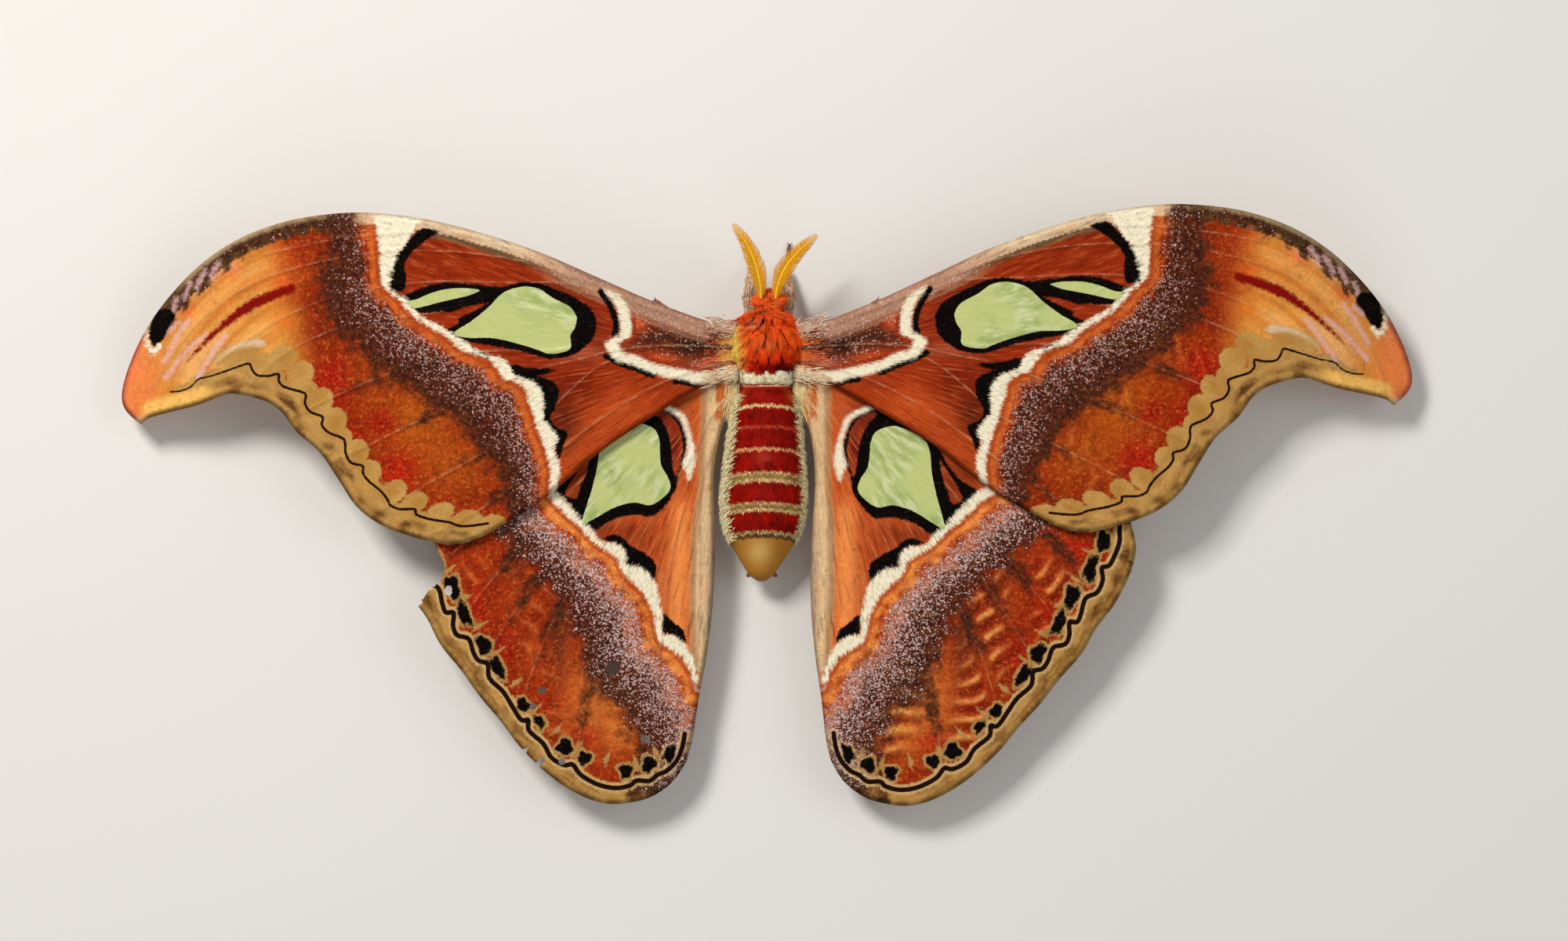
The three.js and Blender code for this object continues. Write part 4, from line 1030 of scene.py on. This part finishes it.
def tuftMesh(name, root, normal, flow, length, width, lift, color, uv):
    s = tuftShape
    flow = unit(flow - normal * (flow * normal).sum(1, keepdims=True))
    side = np.cross(flow, normal)
    length, width, lift = length[:, None], width[:, None] / 2, lift[:, None]
    low = lift * s["droop"]
    middle = root + length * s["reach"][0] * (flow * np.cos(lift) + normal * np.sin(lift))
    tip = middle + length * s["reach"][1] * (flow * np.cos(low) + normal * np.sin(low))
    ends = [root - normal * s["sunk"]] * 3 + [middle] * 3 + [tip]
    points = []
    for at, (across, over) in zip(ends, s["corners"]):
        points.append(at + side * width * across + normal * width * over)
    co = np.stack(points, 1).reshape(-1, 3)
    faces = (s["faces"][None] + 7 * np.arange(len(root))[:, None, None]).reshape(-1, 3)
    uvs = (uv[:, None] + s["patch"][None]).reshape(-1, 2)
    # Painted shade at each tuft's root and painted light at its tip
    shades = np.clip(color[:, None] * s["shade"][None, :, None], 0, 255).reshape(-1, 3)
    return meshOf(name, co, faces[:, ::-1], uvs, shades, False)


def furMaterial(name, look):
    material, n, shader = newMaterial(name)
    place = n.place()
    fine = n.step(n.noise(place, look["grain"], 2.0), 0.35, 0.7)
    color = n.color("fur")
    color = n.blend(fine, n.blend(1.0, color, rgba(look["between"]), "MULTIPLY"), color)
    n.feed(shader.inputs["Base Color"], color)
    shader.inputs["Roughness"].default_value = look["roughness"]
    shader.inputs["Specular IOR Level"].default_value = look["gloss"]
    streaks = n.noise(n.add("Mapping", {0: place, 3: look["lie"]}), look["hair"], 3.0, 0.6)
    n.feed(shader.inputs["Normal"], n.bump(look["bump"], 0.2, streaks))
    return material


def along(points, count):
    line = np.array(points, float)
    run = np.concatenate([[0], np.cumsum(np.linalg.norm(np.diff(line, axis=0), axis=1))])
    at = np.linspace(0, run[-1], count)
    return np.stack([np.interp(at, run, line[:, i]) for i in range(3)], 1)


def tube(line, radii, sides):
    way = unit(np.gradient(line, axis=0))
    side = unit(np.cross(way, np.array([0.0, 0.05, 1.0])))
    over = np.cross(side, way)
    a = np.linspace(0, 2 * math.pi, sides, endpoint=False)
    ring = np.cos(a)[None, :, None] * side[:, None] + np.sin(a)[None, :, None] * over[:, None]
    co = (line[:, None] + ring * np.asarray(radii)[:, None, None]).reshape(-1, 3)
    i, j = np.meshgrid(np.arange(len(line) - 1), np.arange(sides), indexing="ij")
    k, m = (i * sides + j).ravel(), (i * sides + (j + 1) % sides).ravel()
    fan = np.arange(1, sides - 1)
    start, end = fan * 0, fan * 0 + (len(line) - 1) * sides
    walls = [(k, m, m + sides), (k, m + sides, k + sides)]
    caps = [(start, fan + 1, fan), (end, end + fan, end + fan + 1)]
    return co, np.vstack([np.stack(corners, 1) for corners in walls + caps])[:, ::-1]


# One mesh of several parts, each with its points, faces, places on the patch and colours
def joinedMesh(name, parts):
    sizes = [len(part[0]) for part in parts]
    starts = np.cumsum([0] + sizes[:-1])
    faces = np.vstack([part[1] + start for part, start in zip(parts, starts)])
    co, uvs, colors = (np.vstack([part[i] for part in parts]) for i in (0, 2, 3))
    return meshOf(name, co, faces, uvs, colors)


# The body: one skin from the abdomen's tip to the head, inside the depth of its coat.
# Its stations are places along the body with their half widths.
body = {
    "stations": [
        (-13.55, 0.6), (-13.0, 1.5), (-12, 2.5), (-10, 3.8), (-8, 5.0), (-6, 6.2), (-4.4, 6.85),
        (-2, 7.4), (1, 7.7), (6, 7.4), (10.5, 6.9), (15, 6.35), (18.5, 5.8), (20.8, 4.9), (21.8, 4.3),
        (22.6, 4.6), (24.4, 5.0), (26, 5.6), (28, 6.2), (30.2, 6.3), (32, 5.7), (33.6, 4.5),
        (34.8, 2.9), (35.4, 2.0), (36.4, 1.9), (37.4, 1.8), (38.4, 1.3), (38.9, 0.5),
    ],
    "grooves": np.array([18.5, 14.7, 10.7, 5.7, 0.2, -5.0]),
    "grooveWidth": 0.5,
    "grooveDepth": 0.16,
    "paleRings": [
        (18.5, 0.26, 1), (14.7, 0.12, 0.4), (10.7, 0.2, 0.9), (6.35, 0.2, 1), (5.0, 0.24, 1),
        (0.85, 0.2, 1), (-0.35, 0.24, 1), (-4.35, 0.2, 1),
    ],
    "oliveRings": [(5.35, 6.05), (0.0, 0.55)],
    "knobs": [((-2.7, -11.9, 5.2), (-3.6, -12.7, 5.0)), ((1.0, -11.9, 5.2), (1.9, -12.7, 5.0))],
    "around": 72,
    "step": 0.2,
}
bodyLine = smooth(body["stations"])
tail, snout = body["stations"][0][0], body["stations"][-1][0]


def bodyAt(y, a):
    half = np.interp(y, bodyLine[:, 0], bodyLine[:, 1])
    # The abdomen's rings stand a little proud at their hind edges
    groove = np.exp(-(((y[..., None] - body["grooves"]) / body["grooveWidth"]) ** 2)).sum(-1)
    half = half - body["grooveDepth"] * groove * (y < 20)
    neck = ease(33.5, 36, y)
    middleX = -0.026 * np.maximum(0, 22 - y) + 0.5 * neck
    abdomenZ = 6.8 + 0.12 * (y - 1) + 0.001 * np.maximum(0, y - 8) ** 2
    middleZ = np.where(y < 22, abdomenZ, 9.5) - 0.7 * neck
    tall = 0.9 - 0.05 * ease(20, 25, y) + 0.15 * ease(33, 36, y)
    z = middleZ + half * tall * np.sin(a)
    return np.stack([middleX + half * np.cos(a), y, np.maximum(z, 0.12)], -1)


def bodyNormal(y, a):
    along, around = 0.15, 0.02
    lengthwise = bodyAt(y - along, a) - bodyAt(y + along, a)
    return unit(np.cross(bodyAt(y, a + around) - bodyAt(y, a - around), lengthwise))


def bodyUv(y, a):
    return np.stack([a / (2 * math.pi) * 0.9 + 0.02, (y - tail) / 56 + 0.02], 1)


def bodyColor(p, a):
    x, y = p[:, 0], p[:, 1]
    up, side = np.sin(a), np.abs(np.cos(a))
    bent = y + 0.9 * side**2 + 0.12 * np.sin(x * 4.1)
    ivory, olive = (250, 222, 156), (140, 132, 60)
    bands = [(hump(bent, at - half, at + half, 0.1) * share, ivory) for at, half, share in body["paleRings"]]
    bands += [(hump(bent, low, high, 0.1), olive) for low, high in body["oliveRings"]]
    cone = ease(-5.45, -5.65, bent)
    ragged = side + 0.05 * np.sin(y * 5.3) + 0.03 * np.sin(y * 13) + 0.06 * (np.cos(a) < 0)
    abdomen = tints(
        plain((164, 18, 4), len(p)),
        # Darker red in bands repeating along the abdomen: painted shade of its segments
        ((0.5 + 0.5 * np.sin(bent * 1.5 + 1)) * 0.6, (136, 10, 3)),
        (hump(bent, 19.2, 22, 0.5) * ease(0.5, 0.9, side), (206, 84, 30)),
        # A pinkish patch on the back: painted highlight
        (blob(p, -0.6, 9, 1.6, 1.2) * 0.35, (214, 120, 96)),
        *bands,
        (hump(bent, -5.5, -4.65, 0.1), (92, 78, 44)),
        (cone, (186, 122, 36)),
        # A pale cream patch on the cone's upper left: painted highlight
        (cone * blob(p, -1.3, -8.0, 2.5, 2.7) * 0.75, (250, 208, 130)),
        (cone * ease(-11.6, -13, y) * 0.5, (156, 106, 54)),
        # The pale flanks, and the tan belly
        (ease(0.86, 0.94, ragged) * ease(-6.5, -5, y) * ease(21, 19, y), (255, 234, 178)),
        (ease(-0.25, -0.6, up) * (y < 21) * 0.9, (206, 172, 142)),
    )
    front = tints(
        plain((246, 84, 26), len(p)),
        # The left shoulder turns yellow: painted light on the side where the light falls
        (ease(-2.2, -4.8, x) * ease(34.5, 32.5, y), (255, 206, 98)),
        (ease(4.4, 7, x) * ease(32, 29, y) * 0.6, (244, 130, 62)),
        # Deep red at the rear edge: the fur's own colour, darkened by painted shade where the thorax hangs
        # over the belt
        (blob(p, 0.8, 25.8, 5.2, 2.1) * 0.95, (134, 9, 4)),
        (blob(p, 1.6, 28.4, 3.4, 1.8) * 0.6, (222, 48, 14)),
        # Near-black patch at the rear edge: painted shade
        (blob(p, 2.8, 25.6, 2.2, 1.2) * 0.8, (70, 8, 5)),
        # A pale patch and a lighter orange one on top: painted highlights
        (blob(p, -1.5, 33.4, 1.1, 0.5) * 0.9, (255, 222, 186)),
        (blob(p, 0.4, 30.4, 2.2, 1.0) * 0.5, (255, 150, 84)),
        (hump(y, 33.3, 33.8, 0.25) * (up > 0) * 0.6, (176, 34, 16)),
        (blob(p, 0.6, 36.9, 3.6, 2.4) * 0.9, (242, 98, 44)),
        (ease(-0.2, -0.7, up) * 0.7, (170, 84, 56)),
    )
    share = ease(24.0, 24.3, y)
    color = tint(abdomen, share, (0, 0, 0)) + front * share[:, None]
    return tint(color, hump(y, 21.8, 24.2, 0.15), (255, 234, 188))


def bodyMesh():
    around = body["around"]
    along = np.arange(tail, snout, body["step"])
    y, a = np.meshgrid(along, np.linspace(0, 2 * math.pi, around + 1), indexing="ij")
    co, y, a = bodyAt(y, a).reshape(-1, 3), y.ravel(), a.ravel()
    wide = around + 1
    i, j = np.meshgrid(np.arange(len(along) - 1), np.arange(around), indexing="ij")
    k = (i * wide + j).ravel()
    first = np.arange(around)
    last = (len(along) - 1) * wide + first[::-1]
    caps = [np.stack([np.full(around - 2, end[0]), end[1:-1], end[2:]], 1) for end in (first, last)]
    skin = [np.stack([k, k + wide, k + wide + 1], 1), np.stack([k, k + wide + 1, k + 1], 1)]
    parts = [(co, np.vstack(skin + caps), bodyUv(y, a), bodyColor(co, a))]
    for start, end in body["knobs"]:
        t = np.linspace(0, 1, 8)
        line = np.array(start) + (np.array(end) - start) * t[:, None]
        co, faces = tube(line, 0.5 * np.sqrt(1 - 0.9 * t**2), 10)
        uv = np.stack([np.tile(np.linspace(0, 0.03, 10), 8) + 0.96, np.repeat(t, 10) * 0.03 + 0.005], 1)
        parts.append((co, faces, uv, plain((150, 84, 44), len(co))))
    return joinedMesh("bodySkin", parts)


coatLook = {
    "grain": 2.0, "roughness": 0.8, "gloss": 0.03, "lie": (1.0, 0.2, 1.0), "hair": 8.0, "bump": 0.2,
    "between": (242, 238, 234),
}
bodyLook = {
    "grain": 3.0, "roughness": 0.55, "gloss": 0.12, "lie": (1.0, 0.12, 1.0), "hair": 9.0, "bump": 0.4,
    "between": (242, 238, 234),
}
bodyMaterial = furMaterial("bodySkin", bodyLook)
coatMaterial = furMaterial("coat", coatLook)
newPiece("bodySkin", bodyMesh(), bodyMaterial, ["head", "thorax", "abdomen"])

# Coats of tufts. The arc is in degrees round the body, from its right side over the back.
coats = {
    "thoraxCoat": {
        "count": 17000, "span": (24.6, 35.4), "arc": (-90, 270), "length": (1.7, 2.8), "width": 0.2,
        "lift": (0.25, 0.62), "clumps": 300, "pull": 0.4, "slot": "thorax_fur",
    },
    "headCoat": {
        "count": 5200, "span": (34.4, 38.8), "arc": (-90, 270), "length": (1.1, 1.8), "width": 0.17,
        "lift": (0.2, 0.6), "clumps": 80, "pull": 0.3, "slot": "head_fur",
    },
    "beltCoat": {
        "count": 5600, "span": (21.7, 24.0), "arc": (-40, 220), "length": (0.7, 1.1), "width": 0.2,
        "lift": (0.15, 0.5), "clumps": 120, "pull": 0.3, "slot": "thorax_fur",
    },
    "abdomenCoat": {
        "count": 16000, "span": (-5.2, 21.6), "arc": (-90, 270), "length": (0.45, 0.8), "width": 0.16,
        "lift": (0.1, 0.3), "clumps": 900, "pull": 0.2, "slot": "abdomen_rings",
    },
}


def between(limits, share):
    return limits[0] + (limits[1] - limits[0]) * share


def coatPiece(name, coat, seed):
    at, rng = spread(coat["count"], seed)
    y, a = between(coat["span"], at[:, 0]), np.radians(between(coat["arc"], at[:, 1]))
    count, clumps = len(y), coat["clumps"]
    root, normal = bodyAt(y, a), bodyNormal(y, a)
    # Tufts lean together in locks
    locks = root[rng.choice(count, clumps, replace=False)]
    apart = np.stack([((root - middle) ** 2).sum(1) for middle in locks])
    lock, off = apart.argmin(0), np.sqrt(apart.min(0))
    flow = np.tile([0.0, -1.0, 0.0], (count, 1))
    if name == "thoraxCoat":
        flow[:, 0] = root[:, 0] * 0.12
    if name == "beltCoat":
        flow = np.stack([root[:, 0] * 0.05, 1 + 0 * y, 0 * y], 1)
    if name == "headCoat":
        flow = unit(root - np.array([0.5, 36.0, 8.6])) * [1.2, 0.5, 0.2]
    flow = flow + (locks[lock] - root) * coat["pull"] + rng.normal(0, 0.12, flow.shape)
    # Each lock has its own tone, and its tufts are painted darker away from its middle: painted shade between
    # the locks
    lockToneAndShade = 1 + rng.normal(0, 0.1, clumps)[lock] - 0.12 * off / off.mean()
    length = between(coat["length"], rng.random(clumps)[lock]) * np.where(np.sin(a) < -0.5, 0.55, 1)
    lift = between(coat["lift"], rng.random(clumps)[lock]) + 0.12 * rng.random(count)
    if name == "thoraxCoat":
        length = length * (0.42 + 0.58 * ease(25.4, 29, y))
    # Brows hang out over the eyes
    if name == "headCoat":
        brow = hump(np.sin(a), 0.3, 0.92, 0.1) * hump(y, 36.4, 38.5, 0.3)
        flow[:, 0] += np.sign(np.cos(a)) * 1.4 * brow
        length, lift = length * (1 + 0.5 * brow), lift + 0.35 * brow
    width = coat["width"] * (0.7 + 0.6 * rng.random(count))
    color = bodyColor(root, a) * (lockToneAndShade[:, None] + 0.12 + rng.normal(0, 0.06, (count, 1)))
    tufts = (root, normal, flow, length, width, lift, color, bodyUv(y, a % (2 * math.pi)))
    clear = root[:, 2] > 0.6
    newPiece(name, tuftMesh(name, *[values[clear] for values in tufts]), coatMaterial, [])


for number, name in enumerate(coats):
    coatPiece(name, coats[name], 40 + number)


# Pale fringe that stands out from the abdomen's flanks
fringe = {
    "count": 2600, "span": (-6, 20.5), "left": 0.6, "lean": (0.42, 0.14), "color": (255, 236, 184),
    "length": (0.8, 1.5), "width": 0.2, "lift": (0.65, 1.0),
}
# Long hair over the wings' roots: rows over the fore wings from front to back, and one over the hind wings
rootLook = {
    "count": 360, "from": 4.9, "above": 0.16, "out": 1.0, "stray": 0.24, "uneven": 0.22, "length": (1.2, 2.5),
    # glows: painted light on the hair near the body, yellow on the left where the light falls and orange on
    # the right
    "lift": (0.05, 0.19), "width": 0.15, "glows": {-1: (255, 190, 92), 1: (240, 122, 62)},
}
rootRows = [
    {**rootLook, "span": (30.4, 33.0), "fan": 0.28, "ahead": 0.34, "glow": 0,
     "colors": [(236, 190, 160), (190, 130, 108), (250, 224, 200)]},
    {**rootLook, "span": (27.6, 30.4), "fan": 0, "ahead": -0.1, "glow": 0.85,
     "colors": [(84, 44, 34), (150, 62, 34), (226, 100, 46)]},
    {**rootLook, "span": (25.6, 27.6), "fan": 0, "ahead": -0.1, "glow": 0.85,
     "colors": [(236, 104, 60), (240, 150, 116), (196, 70, 36)]},
    {**rootLook, "span": (23.4, 25.6), "fan": -0.3, "ahead": -0.1, "glow": 0,
     "colors": [(255, 240, 206), (252, 220, 176), (240, 190, 150)]},
]
rearRow = {
    **rootLook, "above": -1.44, "out": 0.24, "ahead": -1.0, "stray": 0.16, "uneven": 0.2,
    "length": (1.6, 3.2), "lift": (0.04, 0.16), "pale": (255, 226, 168), "warm": (240, 132, 66),
}


def fringeTufts(rng):
    count = fringe["count"]
    y = between(fringe["span"], rng.random(count))
    left = rng.random(count) < fringe["left"]
    lean = fringe["lean"][0] + rng.normal(0, fringe["lean"][1], count)
    a = np.where(left, math.pi - lean, lean * 0.7)
    normal = bodyNormal(y, a)
    flow = np.stack([np.sign(normal[:, 0]), -0.8 + 0 * y, 0 * y], 1) + rng.normal(0, 0.25, (count, 3))
    color = np.array(fringe["color"]) * (0.92 + 0.14 * rng.random((count, 1)))
    length = between(fringe["length"], rng.random(count))
    lift = between(fringe["lift"], rng.random(count))
    uv = bodyUv(y, a % (2 * math.pi))
    return bodyAt(y, a), normal, flow, length, fringe["width"] + 0 * y, lift, color, uv


def rootTufts(rng, row, mirror, x, y):
    count = len(x)
    stray = rng.normal(0, row["stray"], (count, 3)) * [1, 1, 0]
    flow = np.array([mirror * row["out"], row["ahead"], 0.0]) + stray
    if row is rearRow:
        color = np.where((rng.random(count) < ease(6.2, 8.0, x))[:, None], row["warm"], row["pale"])
    else:
        color = np.array(row["colors"], float)[rng.integers(0, 3, count)]
        # Near the body the hair takes a glow: painted light, yellow on the left where the light falls, orange
        # on the right
        color = tint(color, ease(8.4, 6.2, x) * row["glow"], row["glows"][mirror])
    color = color * (0.86 + row["uneven"] * rng.random((count, 1)))
    length = between(row["length"], rng.random(count))
    lift = between(row["lift"], rng.random(count))
    root = np.stack([mirror * x, y, sheetHeight(x, y) + row["above"]], 1)
    uv = np.stack([0.02 + (x + 14 * (mirror > 0)) / 40, 0.02 + y / 40], 1)
    return root, np.tile([0.0, 0.0, 1.0], (count, 1)), flow, length, row["width"] + 0 * x, lift, color, uv


def fringeAndRoots(name):
    rng = np.random.default_rng(77)
    sets = [fringeTufts(rng)]
    first, count = rootLook["from"], rootLook["count"]
    for mirror in (-1, 1):
        for row in rootRows:
            share = 0.5 + 0.32 * rng.normal(0, 1, count)
            x = first + 5.4 * rng.random(count) ** 2.2
            sets.append(rootTufts(rng, row, mirror, x, between(row["span"], share) + row["fan"] * (x - 6)))
        x = first + 3.7 * rng.random(count)
        sets.append(rootTufts(rng, rearRow, mirror, x, 23.2 - 5.8 * rng.random(count) ** 1.5))
    return tuftMesh(name, *[np.concatenate(values) for values in zip(*sets)])


newPiece("fringeCoat", fringeAndRoots("fringeCoat"), coatMaterial, [])


# Legs, each with its hip, knee, ankle and toe, as in the part's source
legs = {
    "fore": [(2.6, 32.4, 5.4), (3.7, 38.0, 4.9), (3.0, 42.8, 1.7), (3.7, 47.6, 0.45)],
    "mid": [(3.2, 29.5, 4.6), (11, 31.4, 7.4), (15.4, 34.2, 1.6), (20.2, 37.6, 0.45)],
    "hind": [(3.2, 26.2, 4.6), (11, 21.8, 7.2), (15, 16.4, 1.6), (19.4, 10.6, 0.45)],
}
legLook = {
    "skin": (230, 184, 150), "pale": (255, 234, 206), "dark": (150, 84, 60), "claw": (52, 26, 16),
    "lean": {"fore": 0.45, "mid": 0, "hind": 0}, "fur": {"fore": 1.15, "mid": 0.82, "hind": 0.82},
    "tufts": (760, 620, 60, 200), "footFur": 0.32, "furWidth": 0.17, "heel": 0.5, "clawTurn": 0.55,
}


def legUv(around, along, row):
    return np.stack([around * 0.2 + 0.02 + row * 0.24, along * 0.9 + 0.05], 1)


def legPiece(pair, side, mirror, seed):
    look = legLook
    hip, knee, ankle, toe = (np.array([mirror * x + look["lean"][pair], y, z]) for x, y, z in legs[pair])
    heel = ankle * [1, 1, 0] + [0, 0, look["heel"]]
    spans = [
        (hip, knee, lambda t: 1.02 * (1 - 0.22 * t) * ease(-0.1, 0.12, t)),
        (knee, ankle, lambda t: 0.92 * (1 - 0.26 * t) * (0.78 + 0.22 * np.sin(t * 3.1))),
        (ankle, heel, lambda t: 0.5 + 0 * t),
        (heel, toe, lambda t: (0.36 + 0.1 * np.abs(np.sin(t * 4 * math.pi))) * (1 - 0.25 * t)),
    ]
    rng = np.random.default_rng(seed)
    parts, fur = [], []
    for row, (start, end, radius) in enumerate(spans):
        t = np.linspace(0, 1, 14)
        co, faces = tube(start + (end - start) * t[:, None], radius(t), 14)
        co[:, 2] = np.maximum(co[:, 2], 0)
        uv = legUv(np.tile(np.linspace(0, 1, 14, endpoint=False), 14), np.repeat(t, 14), row)
        parts.append((co, faces, uv, plain(look["skin" if row < 3 else "dark"], len(co))))
        # Fur all round, short on the foot
        count = look["tufts"][row]
        u, a = rng.random(count), rng.random(count) * 2 * math.pi
        way = unit(end - start)
        across = unit(np.cross(way, [0, 0.05, 1.0]))
        normal = np.cos(a)[:, None] * across + np.sin(a)[:, None] * np.cross(across, way)
        root = start + (end - start) * u[:, None] + normal * radius(u)[:, None] * 0.95
        color = tints(
            plain(look["skin"], count),
            ((rng.random(count) < 0.4) * 0.8, look["pale"]),
            (ease(0.86, 0.98, u) * 0.8 * (row < 2), look["dark"]),
            ((row == 3) * 0.5 + 0 * u, look["dark"]),
        )
        color = color * (0.85 + 0.25 * rng.random((count, 1)))
        flow = np.tile(way, (count, 1)) + rng.normal(0, 0.12, (count, 3))
        length = (look["fur"][pair] if row < 2 else look["footFur"]) * (0.7 + 0.6 * rng.random(count))
        lift = (0.4 if row < 2 else 0.15) + 0.35 * rng.random(count)
        uv = legUv(a / (2 * math.pi), u, row)
        fur.append((root, normal, flow, length, look["furWidth"] + 0 * u, lift, color, uv))
    ahead = unit(toe - heel)
    for turn in (-look["clawTurn"], look["clawTurn"]):
        c, s = math.cos(turn), math.sin(turn)
        way = np.array([ahead[0] * c - ahead[1] * s, ahead[0] * s + ahead[1] * c, 0])
        t = np.linspace(0, 1, 7)
        rise = np.array([0, 0, 1]) * (0.12 * np.sin(t * 3.1) - 0.28 * t)[:, None]
        co, faces = tube(toe + way * t[:, None] * 0.85 + rise, 0.17 * (1 - 0.85 * t), 8)
        co[:, 2] = np.maximum(co[:, 2], 0)
        uv = np.tile([0.5, 0.01], (len(co), 1)) + np.random.default_rng(3).random((len(co), 2)) * 0.01
        parts.append((co, faces, uv, plain(look["claw"], len(co))))
    name = f"{pair}leg_{side}"
    newPiece(name + "Skin", joinedMesh(name + "Skin", parts), bodyMaterial, [name])
    tufts = [np.concatenate(values) for values in zip(*fur)]
    clear = tufts[0][:, 2] > 0.25
    coat = tuftMesh(name + "Coat", *[values[clear] for values in tufts])
    newPiece(name + "Coat", coat, coatMaterial, [])


for number, (side, mirror) in enumerate((("left", -1), ("right", 1))):
    for order, pair in enumerate(legs):
        legPiece(pair, side, mirror, 100 + 10 * number + order)
print("body, coat and legs ready")

# Antennae: a shaft and a close comb of barbs on each side
antennae = {
    "left": [(-0.9, 37.6, 10.9), (-1.1, 40.4, 12.2), (-2, 43.9, 13.1), (-3.6, 47.5, 13.7), (-6, 51, 14.1)],
    "right": [(1.7, 37.6, 10.9), (2.2, 40.2, 12.2), (3.5, 43.2, 13.1), (6.0, 46.2, 13.7), (9.2, 49, 14.1)],
}
antennaLook = {
    "points": 60, "shaft": 0.27, "shaftColor": (255, 204, 60), "barbs": 58, "half": 1.85, "sweep": 0.75,
    "sag": 0.22, "thick": 0.135, "barbColors": ((226, 156, 22), (240, 178, 34)), "tipColor": (214, 150, 84),
}


def antennaPiece(side, seed):
    look = antennaLook
    count = look["points"]
    line = along(smooth(antennae[side], 12), count)
    t = np.linspace(0, 1, count)
    rng = np.random.default_rng(seed)
    co, faces = tube(line, look["shaft"] * (1 - 0.6 * t), 10)
    uv = np.stack([np.tile(np.linspace(0, 0.06, 10), count) + 0.46, np.repeat(t, 10) * 0.9 + 0.05], 1)
    parts = [(co, faces, uv, plain(look["shaftColor"], len(co)))]
    way = unit(np.gradient(line, axis=0))
    sideways = unit(np.cross(way, [0, 0, 1.0]))
    u = np.linspace(0, 1, 6)
    for i in range(look["barbs"]):
        s = 0.03 + 0.95 * i / (look["barbs"] - 1)
        at, ahead, out = (
            np.array([np.interp(s * (count - 1), np.arange(count), values[:, k]) for k in range(3)])
            for values in (line, way, sideways)
        )
        reach = look["half"] * min(1, 0.24 + 2.4 * s) * (1 - s) ** 0.55 + 0.16
        for turn in (-1, 1):
            wobble = 1 + 0.05 * rng.normal()
            path = at + np.outer(u * reach * wobble * turn, out)
            path = path + np.outer(u**1.3 * reach * look["sweep"], ahead)
            path[:, 2] -= look["sag"] * u**2
            co, faces = tube(path, look["thick"] * (1 - 0.45 * u) * min(1, reach), 5)
            color = plain(look["barbColors"][i % 2], len(co))
            color = tint(color, np.repeat(ease(0.5, 1, u), 5) * 0.6, look["tipColor"])
            across = 0.5 + turn * (0.05 + np.repeat(u, 5) * 0.36)
            uv = np.stack([across, np.tile(np.linspace(0, 0.012, 5), 6) + 0.03 + s * 0.9], 1)
            parts.append((co, faces, uv, color))
    name = f"antenna_{side}"
    newPiece(name + "Comb", joinedMesh(name + "Comb", parts), coatMaterial, [name])


antennaPiece("left", 5)
antennaPiece("right", 6)

# Eyes: domes of fine facets
eyeLook = {
    "middle": (0.5, 37.4, 8.3), "apart": 1.95, "radius": 1.18, "color": (40, 20, 14), "between": (66, 34, 22),
    "facet": 9.0, "roughness": 0.18,
}
eyeMaterial, n, eyeShader = newMaterial("eye")
facets = n.cells(n.place(), eyeLook["facet"], 0)
eyeColor = n.blend(n.step(facets, 0.1, 0.6), rgba(eyeLook["between"]), rgba(eyeLook["color"]))
n.feed(eyeShader.inputs["Base Color"], eyeColor)
eyeShader.inputs["Roughness"].default_value = eyeLook["roughness"]
n.feed(eyeShader.inputs["Normal"], n.bump(0.6, 0.05, facets))
for side, mirror in (("left", -1), ("right", 1)):
    x, y, z = eyeLook["middle"]
    middle = Vector((x + mirror * eyeLook["apart"] + shift[0], y + shift[1], z)) * mm
    bpy.ops.object.select_all(action="DESELECT")
    radius = eyeLook["radius"] * mm
    bpy.ops.mesh.primitive_uv_sphere_add(segments=48, ring_count=28, radius=radius, location=(0, 0, 0))
    eye = bpy.context.object
    eye.name = f"eye_{side}Dome"
    for vertex in eye.data.vertices:
        vertex.co = vertex.co + middle
    bpy.ops.object.shade_smooth()
    eye.data.materials.append(eyeMaterial)
    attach(eye, "root")
    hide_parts(f"eye_{side}")
print("antennae and eyes ready")
